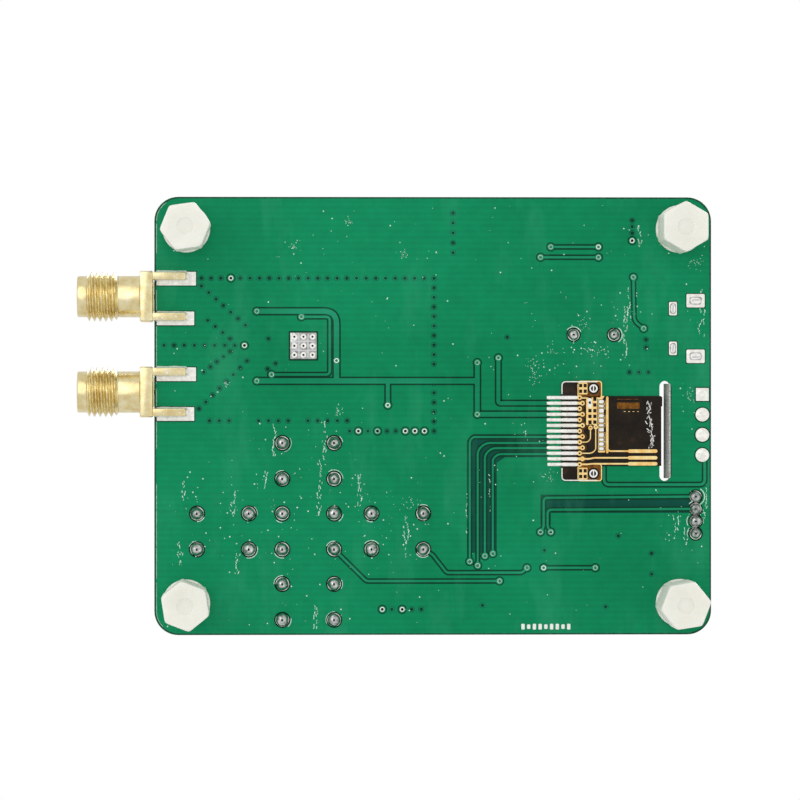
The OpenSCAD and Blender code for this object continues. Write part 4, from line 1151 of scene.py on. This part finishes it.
def draw_key(name):
    """A tact switch: moulded case, stamped cover on four pegs, and a round plunger."""
    low, high = place(f"key_{name}_case")
    cover_low, cover_high = place(f"key_{name}_cover")
    at = (low + high) / 2
    x, y, wide = at.x, at.y, high.x - low.x
    z0, z1, top = cover_low.z, cover_high.z, high.z
    b = Build()
    b.loft(frame_rings(
        lambda g: rounded(x, y, wide + 2 * g, wide + 2 * g, 0.35 + g, 15),
        ((-0.12, low.z), (0, low.z + 0.1), (0, z0 - 0.07), (-0.06, z0)),
        lambda g: circle(x, y, 2.4 + g, 64), ((0, z0), (0, low.z + 0.9))), BLACK_PLASTIC)
    for px, py in [(x + sx * 2.35, y + sy * 2.35) for sx, sy in CORNERS]:
        b.lathe([(0.4, z0 - 0.2), (0.4, top - 0.1), (0.32, top - 0.02), (0.12, top)],
                (px, py, 0), BLACK_PLASTIC, 20)
        b.lathe([(0.55, low.z), (0.5, low.z + 0.02)], (px, py, 0), BLACK_PLASTIC, 14)
    b.done(f"key_{name}_moulding", "black_plastic", replaces=[f"key_{name}_case"])

    b = Build()
    rings = frame_rings(
        lambda g: rounded(x, y, wide - 0.14 + 2 * g, wide - 0.14 + 2 * g, 0.3, 15),
        ((0, z0), (0, z1 - 0.05), (-0.04, z1)),
        lambda g: circle(x, y, 1.95 + g, 64), ((0.05, z1), (0.0, z1 - 0.05), (0.0, z0)))
    b.loft(rings + rings[:1], STEEL, cap=False)
    for side in SIDES:
        b.slab(x + side * (wide / 2 - 0.02), y, 0.1, 2.2, low.z + 1.1, z1 - 0.02, STEEL, 0.03, 0.02)
    b.done(f"key_{name}_plate", "steel", replaces=[f"key_{name}_cover"])

    b = Build()
    foot, top = place(f"key_{name}_plunger")
    foot.z += STEM_GAP
    from_foot = [(0.6, 0), (1.0, 0.04), (1.02, 0.11), (2.0, 0.15), (2.1, 0.23), (2.1, 0.73),
                 (2.04, 0.81), (1.75, 0.83)]
    from_top = [(1.74, 0.3), (1.7, 0.12), (1.58, 0.03), (1.4, 0), (0.9, 0.01), (0.3, 0.03)]
    profile = [(r, foot.z + up) for r, up in from_foot] + [(r, top.z - down) for r, down in from_top]
    b.lathe(profile, (x, y, 0), BLACK_PLASTIC, 48)
    b.done(f"key_{name}_stem", "black_plastic", body=f"key_{name}_button",
           replaces=[f"key_{name}_plunger"])


# ---------------------------------------------------------------- display
def draw_display():
    """Two sheets of glass in a white light-guide tray, the driver strip on the ledge."""
    low, high, x, y, w, d = seat("display_backlight")
    b = Build()
    levels = [(-0.08, low.z, 0.4), (0, low.z + 0.08, 0.4), (0, high.z - 0.06, 0.4),
              (-0.06, high.z, 0.4), (-0.44, high.z, 0.1), (-0.5, high.z - 0.06, 0.1),
              (-0.5, low.z + 0.5, 0.1)]
    b.loft([at_height(rounded(x, y, w + 2 * g, d + 2 * g, r), z) for g, z, r in levels],
           WHITE_PLASTIC)
    b.slab(x, y, w - 1.1, d - 1.1, low.z + 0.48, low.z + 0.56, INK, 0.1, 0.02)
    b.done("display_tray", "white_plastic", replaces=["display_backlight"])

    b = Build()
    low, high, gx, _, gw, gd = seat("display_panel")
    mid, top = (low.z + high.z) / 2, high.z
    ledge = low.x + 2.0
    top_x, top_w = (high.x + ledge) / 2, high.x - ledge
    for cx, gone_w, gone_d, z0, z1, mat, r, edge in (
        (gx, 0, 0, low.z, mid - 0.005, GLASS, 0.12, 0.04),
        (top_x, 0, 0, mid + 0.005, top - 0.06, GLASS, 0.12, 0.03),
        (top_x, 0.3, 0.3, top - 0.06, top - 0.015, GLASS, 0.2, 0.03),
        (top_x, 2.3, 1.9, top - 0.02, top - 0.003, GLASS_ACTIVE, 0.05, 0.004),
    ):
        b.slab(cx, y, (gw if cx == gx else top_w) - gone_w, gd - gone_d, z0, z1, mat, r, edge)
    b.slab(ledge - 0.6, y, 0.72, 8.4, mid, mid + 0.3, RESIN, 0.05, 0.03)
    for py in [y - 5.1 + 10.2 * k / 33 for k in range(34)]:
        b.band([(ledge - 1.9, y + (py - y) * 0.82), (ledge - 1.05, py)], 0.07, mid - 0.004,
               mid + 0.006, COPPER)
    b.done("display_glass_stack", "display_glass", replaces=["display_panel"])


# ---------------------------------------------------------------- sockets and cans
def usb_section(w, h, cut):
    """The shell's cross section: flat on top, narrowed below, every corner eased."""
    pts = [(w / 2, h / 2), (-w / 2, h / 2), (-w / 2, -h / 2 + cut), (-w / 2 + cut, -h / 2),
           (w / 2 - cut, -h / 2), (w / 2, -h / 2 + cut)]
    made = []
    for i, p in enumerate(pts):
        q = Vector(p)
        to_a, to_c = [(Vector(end) - q).normalized() for end in (pts[i - 1], pts[(i + 1) % len(pts)])]
        for v in (to_a * 0.28, to_a * 0.14, (to_a + to_c) * 0.06, to_c * 0.14, to_c * 0.28):
            made.append(tuple(q + v))
    return made


def draw_usb():
    """A folded steel shell with a seam, spring tabs and through-board locks."""
    low, high, _, y, _, wide = seat("usb_shell")
    front, back = low.x, high.x
    bottom, top = TOP_Z, high.z
    mid_z, tall, wall = (bottom + top) / 2, top - bottom, 0.25

    def section(x, grow, scale=1.0):
        points = usb_section(wide + 2 * grow, tall + 2 * grow, 0.9 + grow * 0.4)
        return [(x, y + py * scale, mid_z + pz * scale) for py, pz in points]

    b = Build()
    outer = [section(x, g) for x, g in
             ((front, -0.05), (front + 0.06, 0.0), (back - 0.06, 0.0), (back, -0.06))]
    inner = [section(x, g) for x, g in
             ((back - wall, -wall), (front + 0.06, -wall), (front, -wall + 0.05))]
    for rings in (outer, inner, [inner[-1], outer[0]]):
        b.loft(rings, STEEL, cap=False)
    b.loft([outer[-1], section(back, 0, 0.1)], STEEL)
    b.slab((front + back) / 2, y + 0.05, back - front - 0.7, 0.05, top - 0.004, top - 0.001,
           TINNED, 0.02, 0.001)
    for side in SIDES:
        b.slab(front + 1.7, y + side * 2.0, 1.9, 0.9, top - 0.16, top - 0.003, CAN, 0.12, 0.03)
        b.slab(front + 1.95, y + side * 3.6, 1.1, 0.26, low.z, bottom + 1.0, STEEL, 0.06, 0.05)
        b.slab(back - 0.2, y + side * 2.5, 0.3, 0.9, low.z, bottom + 0.6, STEEL, 0.06, 0.05)
    b.done("usb_can", "steel", replaces=["usb_shell"])


def draw_crystal():
    low, high, x, y, w, d = seat("crystal_can")
    top = high.z
    b = Build()
    levels = [(-0.06, low.z), (0, low.z + 0.05), (0, low.z + 0.32), (-0.05, low.z + 0.4),
              (-0.42, low.z + 0.44), (-0.46, low.z + 0.6), (-0.46, top - 0.55),
              (-0.5, top - 0.28), (-0.62, top - 0.1), (-0.85, top - 0.01), (-1.2, top)]
    b.stack(lambda g: rounded(x, y, w + 2 * g, d + 2 * g, d / 2 + g - 0.01, 12), levels, CAN)
    b.slab(x, y, w - 3.4, d - 3.2, top - 0.02, top - 0.005, STEEL, 0.5, 0.01)
    b.done("crystal_drawn_can", "steel", replaces=["crystal_can"])


def draw_header():
    """An open-topped side header: walls, a keyed slot in the front and square pins."""
    low, high, x, y, w, d = seat("side_header_housing")
    t, base, top = 0.5, low.z + 0.9, high.z
    b = Build()
    b.slab(x, y, w, d, low.z, low.z + 1.0, IVORY, 0.15, 0.06)
    b.slab(high.x - t / 2, y, t, d, base, top, IVORY, 0.1, 0.08)
    for side in SIDES:
        b.slab(x, y + side * (d - t) / 2, w, t, base, top, IVORY, 0.1, 0.08)
        b.slab(low.x + t / 2, y + side * (d / 2 - 1.25), t, 2.4, base, top, IVORY, 0.1, 0.08)
        b.slab(x + 0.2, y + side * (d / 2 - 0.62), 0.7, 0.24, base, top - 0.4, IVORY, 0.04, 0.04)
    b.done("side_header_body", "ivory_plastic", replaces=["side_header_housing"])
    b = Build()
    for low, high in islands("side_header_pins"):
        px, py = plan(low, high)[:2]
        b.loft([at_height(rounded(px, py, s, s, 0.04, 2), z) for s, z in
                ((0.3, low.z), (0.5, low.z + 0.25), (0.5, high.z - 0.3), (0.26, high.z))], TINNED)
    b.done("side_header_contacts", "tinned_metal", replaces=["side_header_pins"])


# ---------------------------------------------------------------- chips
def chip_body(b, low, high, dot=True, bulge=0.08):
    """A moulded package: drafted sides meeting at the parting line, and a pin-one dot."""
    x, y, w, d = plan(low, high)
    tall = high.z - low.z
    levels = [(-bulge, low.z), (0, low.z + tall * 0.42), (0, low.z + tall * 0.5),
              (-bulge, high.z - 0.03), (-bulge - 0.04, high.z)]
    b.stack(lambda g: rounded(x, y, w + 2 * g, d + 2 * g, 0.12, 3), levels, RESIN)
    if dot:
        r = min(w, d) * 0.07
        px, py = low.x + 3.2 * r + bulge, high.y - 3.2 * r - bulge
        b.lathe([(r * 1.1, 0.0), (r, 0.006), (r * 0.9, 0.0), (r * 0.3, 0.002)],
                (px, py, high.z - 0.004), BLACK_PLASTIC, 20)


def gull_lead(b, at, out, width, rise):
    """A formed lead: out of the body, down, and flat on its pad."""
    side = Vector((-out.y, out.x)) * width / 2
    z = TOP_Z + 0.05
    rings = []
    for run, up in ((0.0, rise), (0.22, rise), (0.36, rise - 0.06), (0.5, rise * 0.45),
                    (0.6, 0.14), (0.74, 0.05), (1.0, 0.05)):
        p = at + out * run
        corners = ((-1, -0.04), (1, -0.04), (1, 0.08), (-1, 0.08))
        rings.append([(p.x + k * side.x, p.y + k * side.y, z + up + off) for k, off in corners])
    b.loft(rings, TINNED)


def four_sides(centre, reach, count):
    """Places 0.5 mm apart along the sides of a square chip, with the way out at each."""
    for turn in range(4):
        out = Vector((math.cos(turn * math.pi / 2), math.sin(turn * math.pi / 2)))
        along = Vector((-out.y, out.x))
        for k in range(count):
            at = Vector((centre.x, centre.y)) + out * reach + along * (k - (count - 1) / 2) * 0.5
            yield at, out


def draw_controller():
    low, high = place("controller_body")
    b = Build()
    chip_body(b, low, high)
    b.done("controller_package", "chip_resin", replaces=["controller_body"])
    b, pads = Build(), Build()
    for at, out in four_sides((low + high) / 2, (high.x - low.x) / 2 - 0.02, 12):
        gull_lead(b, at, out, 0.22, 0.62)
        pad = at + out * 0.82
        w, d = (0.9, 0.3) if abs(out.x) > 0.5 else (0.3, 0.9)
        pads.slab(pad.x, pad.y, w, d, TOP_Z, TOP_Z + 0.045, TIN, 0.05, 0.02)
    b.done("controller_leads_formed", "tinned_metal", replaces=["controller_leads"])
    pads.done("controller_pads", "solder")


def draw_regulators():
    b = Build()
    for low, high in islands("regulator_bodies"):
        chip_body(b, low, high, dot=False, bulge=0.16)
    b.done("regulator_packages", "chip_resin", replaces=["regulator_bodies"])
    b, pads = Build(), Build()
    for low, high in islands("regulator_leads"):
        x, _, wide, _ = plan(low, high)
        # The wide tab points the other way from the three narrow legs.
        out = Vector((0, 1 if wide > 1 else -1))
        near, far = (low.y, high.y) if wide > 1 else (high.y, low.y)
        gull_lead(b, Vector((x, near + out.y * 0.55)), out, wide, 0.78)
        pads.slab(x, far - out.y * 0.6, wide + 0.4, 1.5, TOP_Z, TOP_Z + 0.045, TIN, 0.1, 0.02)
    b.done("regulator_leads_formed", "tinned_metal", replaces=["regulator_leads"])
    pads.done("regulator_pads", "solder")


def draw_small_parts():
    """Capacitors and resistors with wrapped metal ends, pads and solder heels."""
    length, width = 1.6, 0.8
    for node, mat, slot in (("chip_capacitors", CERAMIC, "capacitor_ceramic"),
                            ("chip_resistors", GLAZE, "resistor_glaze")):
        b = Build()
        for low, high in islands(node):
            x, y, w, d = plan(low, high)

            long_x = w > d

            def swap(along, across):
                """Sizes along and across the part, as sizes along X and Y."""
                return (along, across) if long_x else (across, along)

            w, d = swap(length, width)
            b.slab(x, y, w - 0.04, d - 0.04, low.z + 0.02, high.z - 0.02, mat, 0.05, 0.04)
            if node == "chip_resistors":
                less_w, less_d = swap(0.7, 0.12)
                b.slab(x, y, w - less_w, d - less_d, high.z - 0.03, high.z - 0.004,
                       BLACK_PLASTIC, 0.04, 0.02)
            for side in SIDES:
                dx, dy = swap(side * (length / 2 - 0.16), 0)
                b.slab(x + dx, y + dy, *swap(0.32, width), low.z, high.z, TINNED, 0.07, 0.06)
                dx, dy = swap(side * 0.95, 0)
                px, py, (pw, pd) = x + dx, y + dy, swap(0.8, 0.9)
                b.slab(px, py, pw, pd, TOP_Z, TOP_Z + 0.04, TIN, 0.06, 0.02)
                heel = high.z - low.z
                levels = [(-grow, TOP_Z + heel * up) for grow, up in
                          ((0, 0), (0.12, 0.2), (0.24, 0.45), (0.32, 0.62))]
                b.stack(lambda g: rounded(px, py, pw + 2 * g, pd + 2 * g, 0.2, 3), levels, SOLDER)
        b.done(node + "_soldered", slot, replaces=[node])


def draw_rf_chip():
    b = Build()
    chip_body(b, *place("rf_chip"), bulge=0.0)
    for p, out in four_sides(CHIP, 2.5, 8):
        w, d = (0.55, 0.27) if abs(out.x) > 0.5 else (0.27, 0.55)
        b.slab(p.x, p.y, w, d, TOP_Z, TOP_Z + 0.14, TIN, 0.05, 0.05)
    b.done("rf_chip_package", "chip_resin", replaces=["rf_chip"])


def draw_oscillator():
    low, high, x, y, w, d = seat("reference_oscillator")
    b = Build()
    b.slab(x, y, w, d, low.z, low.z + 0.55, CERAMIC, 0.25, 0.04)
    b.slab(x, y, w - 0.5, d - 0.5, low.z + 0.5, high.z, CAN, 0.35, 0.09)
    for sx, sy in CORNERS:
        b.slab(x + sx * (w / 2 - 0.5), y + sy * (d / 2 - 0.1), 1.0, 0.7, TOP_Z, TOP_Z + 0.12,
               TIN, 0.1, 0.05)
    b.done("reference_oscillator_package", "oscillator_lid", replaces=["reference_oscillator"])


def draw_lamp():
    low, high, x, y, w, d = seat("status_light")
    b = Build()
    b.slab(x, y, w, d, low.z, low.z + 0.32, IVORY, 0.06, 0.03)
    b.slab(x, y, w - 0.7, d - 0.06, low.z + 0.3, high.z, LENS, 0.1, 0.12)
    for side in SIDES:
        b.slab(x + side * 0.95, y, 0.7, 1.3, TOP_Z, TOP_Z + 0.1, TIN, 0.1, 0.05)
    b.done("status_light_package", "lamp_lens", replaces=["status_light"])


# ---------------------------------------------------------------- component-side artwork
UPPER_ROUTES = [
    (0.9, 0.3, [(32.6, JACK_Y[0]), (26.8, JACK_Y[0])]),
    (0.9, 0.3, [(25.2, JACK_Y[0]), (18.4, JACK_Y[0]), (17.6, 14.2)]),
    (0.9, 0.3, [(32.6, JACK_Y[1]), (26.8, JACK_Y[1])]),
    (0.9, 0.3, [(25.2, JACK_Y[1]), (21.6, JACK_Y[1]), (21.6, 5.6), (18.8, 7.0)]),
    (0.3, 0.5, [(13.8, 9.6), (6.7, 9.6)]),
    (0.3, 0.5, [(13.8, 7.6), (10.6, 5.6), (10.6, 4.6), (3.6, 4.6), (1.2, 6.4), (-8.2, 6.4)]),
    (0.7, 0.4, [(-4.5, 23.6), (-4.5, 25.4), (-22.4, 25.4), (-22.4, 21.4)]),
    (0.7, 0.4, [(-12.2, 16.0), (-12.2, 14.8), (-9.8, 14.6)]),
    (0.3, 0.6, [(-7.0, -16.6), (1.6, -16.6), (1.3, -16.75)]),
    (0.3, 0.6, [(-7.0, -18.6), (3.0, -18.6), (3.8, -19.4), (9.8, -19.4), (12.5, -21.1)]),
    (0.3, 0.6, [(-7.0, -20.1), (-2.0, -20.1), (0.8, -22.0)]),
    (0.3, 0.6, [(-15.0, -19.6), (-20.8, -19.6), (-21.6, -18.2)]),
    (0.3, 0.6, [(-15.0, -17.6), (-19.6, -17.6), (-21.6, -16.8)]),
    (0.3, 0.6, [(-15.0, -16.1), (-17.0, -11.0), (-22.0, -9.6), (-29.6, -9.6), (-33.05, -11.7)]),
    (0.5, 0.6, [(8.8, 6.2), (8.8, 0.6), (12.45, -3.4)]),
    (0.5, 0.6, [(-30.2, 9.7), (-27.8, 9.7), (-27.8, 5.9)]),
    (0.5, 0.6, [(-30.2, 12.3), (-28.6, 12.3), (-28.2, 16.6)]),
    (0.3, 0.6, [(-17.66, 10.2), (-13.2, 10.2), (-12.0, 12.4)]),
]


def outline_ink(b, node, grow, mark):
    """Printed corners round a part, with a spot beside the first pin if it has a mark."""
    _, _, x, y, w, d = seat(node)
    w, d = w + 2 * grow, d + 2 * grow
    z0, z1 = TOP_Z, TOP_Z + 0.022
    run = min(w, d) * 0.3
    for sx, sy in CORNERS:
        cx, cy = x + sx * w / 2, y + sy * d / 2
        b.band([(cx - sx * run, cy), (cx, cy), (cx, cy - sy * run)], 0.15, z0, z1, INK)
    if mark:
        b.lathe([(0.22, z0), (0.2, z1)], (x - w / 2 - 0.4, y + d / 2, 0), INK, 14)


def draw_upper_legend():
    """Printed outlines round the parts, without any lettering."""
    b = Build()
    for node, grow in (("rf_chip", 0.45), ("controller_body", 1.5), ("reference_oscillator", 0.45),
                       ("crystal_can", 0.45)):
        outline_ink(b, node, grow, True)
    outline_ink(b, "display_backlight", 0.5, False)
    for name in KEYS:
        outline_ink(b, f"key_{name}_case", 0.4, False)
    for low, high in islands("chip_capacitors") + islands("chip_resistors"):
        x, y, w, d = plan(low, high)
        for side in SIDES:
            line = [(x + end, y + side * 0.66) if w > d else (x + side * 0.66, y + end)
                    for end in (-0.45, 0.45)]
            b.band(line, 0.13, TOP_Z, TOP_Z + 0.02, INK)
    b.band([(-26.0, -25.6), (-13.0, -25.6)], 0.16, TOP_Z, TOP_Z + 0.02, INK)
    for box in islands("corner_screws"):
        x, y = plan(*box)[:2]
        b.ring(x, y, 2.9, 3.1, TOP_Z, TOP_Z + 0.02, INK, 48)
    b.done("upper_legend", "solder_mask")


for key in KEYS:
    draw_key(key)
draw_display()
draw_usb()
draw_crystal()
draw_header()
draw_controller()
draw_regulators()
draw_small_parts()
draw_rf_chip()
draw_oscillator()
draw_lamp()
draw_routes("upper", UPPER_ROUTES, [], TOP_Z, 1, 0.01)
draw_upper_legend()


# ---------------------------------------------------------------- CAD nodes
SLOT_MATERIALS = {
    "solder_mask": MASK,
    "nylon": NYLON,
    "gold_plate": GOLD,
    "ptfe": PTFE,
    "solder": SOLDER,
    "display_glass": GLASS,
    "white_plastic": WHITE_PLASTIC,
    "black_tape": TAPE,
    "polyimide": FILM,
    "black_plastic": BLACK_PLASTIC,
    "steel": STEEL,
    "tinned_metal": TINNED,
    "ivory_plastic": IVORY,
    "chip_resin": RESIN,
    "oscillator_lid": CAN,
    "capacitor_ceramic": CERAMIC,
    "resistor_glaze": GLAZE,
    "lamp_lens": LENS,
}


def dress_cad_nodes():
    """The CAD nodes still shown take the finish of the record's slot they are in."""
    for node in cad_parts.values():
        for held in node.material_slots:
            name = held.material.name.split(".")[0]
            held.material = SLOT_MATERIALS[name]


dress_cad_nodes()


# ---------------------------------------------------------------- stage
# The floor lies just under the feet, so that it never shares a plane with their ends.
FLOOR_DROP = 0.05
FLOOR_HALF = 1.5
WORLD_SEEN, WORLD_LIT = 1.0, 0.8
LENS_MM = 214.9
CAMERA_BACK = 600
CAMERA_TURN = 1.65
AIM_X, AIM_Y = 4.17, 2.0


def floor_finish():
    """The camera looks up at the solder side, so the floor only shows from above."""
    f = Finish("stage_paper", rough=0.7)
    paper = f.ramp(f.noise(0.02, 3.0), [(0.3, (236, 236, 236)), (0.7, (244, 244, 243))])
    f.fill(f.shader, {"Base Color": paper})
    f.bump(f.noise(0.8, 3.0), 0.02, 0.3)
    pick = f.add("MixShader", {"Fac": f.add("NewGeometry").outputs["Backfacing"],
                               1: f.shader.outputs[0], 2: f.add("BsdfTransparent").outputs[0]})
    f.fill(f.nodes["Material Output"], {"Surface": pick.outputs[0]})
    return f.mat


def make_floor():
    size, z = FLOOR_HALF, -FLOOR_DROP * MM
    corners = [(-size, -size, z), (size, -size, z), (size, size, z), (-size, size, z)]
    mesh = bpy.data.meshes.new("stage_floor")
    mesh.from_pydata(corners, [], [(0, 1, 2, 3)])
    mesh.materials.append(floor_finish())
    floor = add_object("stage_floor", mesh)
    floor.visible_shadow = floor.visible_diffuse = floor.visible_glossy = False


def area_light(name, at, size, watts):
    """A soft square light aimed at the board."""
    lamp = bpy.data.lights.new(name, "AREA")
    lamp.size, lamp.energy = size * MM, watts
    rig = add_object(name, lamp)
    rig.location = Vector(at) * MM
    aim = Vector((BOARD_X, BOARD_Y, LOW_Z)) - Vector(at)
    rig.rotation_euler = aim.to_track_quat("-Z", "Y").to_euler()


def sun_light(name, tilt, strength, angle):
    """Even light on the component side and the floor."""
    lamp = bpy.data.lights.new(name, "SUN")
    lamp.energy, lamp.angle = strength, math.radians(angle)
    add_object(name, lamp).rotation_euler = (math.radians(tilt[0]), 0, math.radians(tilt[1]))


def make_world(level_seen, level_lit):
    """Pale surroundings: near white where the camera sees them, softer as light."""
    world = bpy.data.worlds.new("studio")
    world.use_nodes = True
    nodes, links = world.node_tree.nodes, world.node_tree.links
    seen, lit = nodes["Background"], nodes.new("ShaderNodeBackground")
    for sky, level in ((seen, level_seen), (lit, level_lit)):
        sky.inputs["Color"].default_value = (1.0, 1.0, 1.0, 1.0)
        sky.inputs["Strength"].default_value = level
    pick = nodes.new("ShaderNodeMixShader")
    links.new(nodes.new("ShaderNodeLightPath").outputs["Is Camera Ray"], pick.inputs["Fac"])
    links.new(lit.outputs[0], pick.inputs[1])
    links.new(seen.outputs[0], pick.inputs[2])
    links.new(pick.outputs[0], nodes["World Output"].inputs["Surface"])
    bpy.context.scene.world = world


def make_camera():
    """Square on to the solder side, as the photograph is taken."""
    data = bpy.data.cameras.new("main")
    data.sensor_width = 36
    data.lens = LENS_MM
    data.clip_start = 0.01
    camera = add_object("main", data)
    turn = math.radians(CAMERA_TURN)
    camera.location = (
        (BOARD_X + AIM_X + CAMERA_BACK * math.sin(turn)) * MM,
        (BOARD_Y + AIM_Y) * MM,
        (LOW_Z - CAMERA_BACK * math.cos(turn)) * MM,
    )
    camera.rotation_euler = (0, math.pi - turn, 0)
    bpy.context.scene.camera = camera


make_floor()
make_world(WORLD_SEEN, WORLD_LIT)
area_light("key_below", (200, 160, -330), 420, 0.48)
area_light("fill_below", (-280, -120, -300), 420, 0.15)
sun_light("sun_above", (-35, 40), 1.3, 24)
make_camera()
bpy.context.scene.view_settings.view_transform = "Standard"
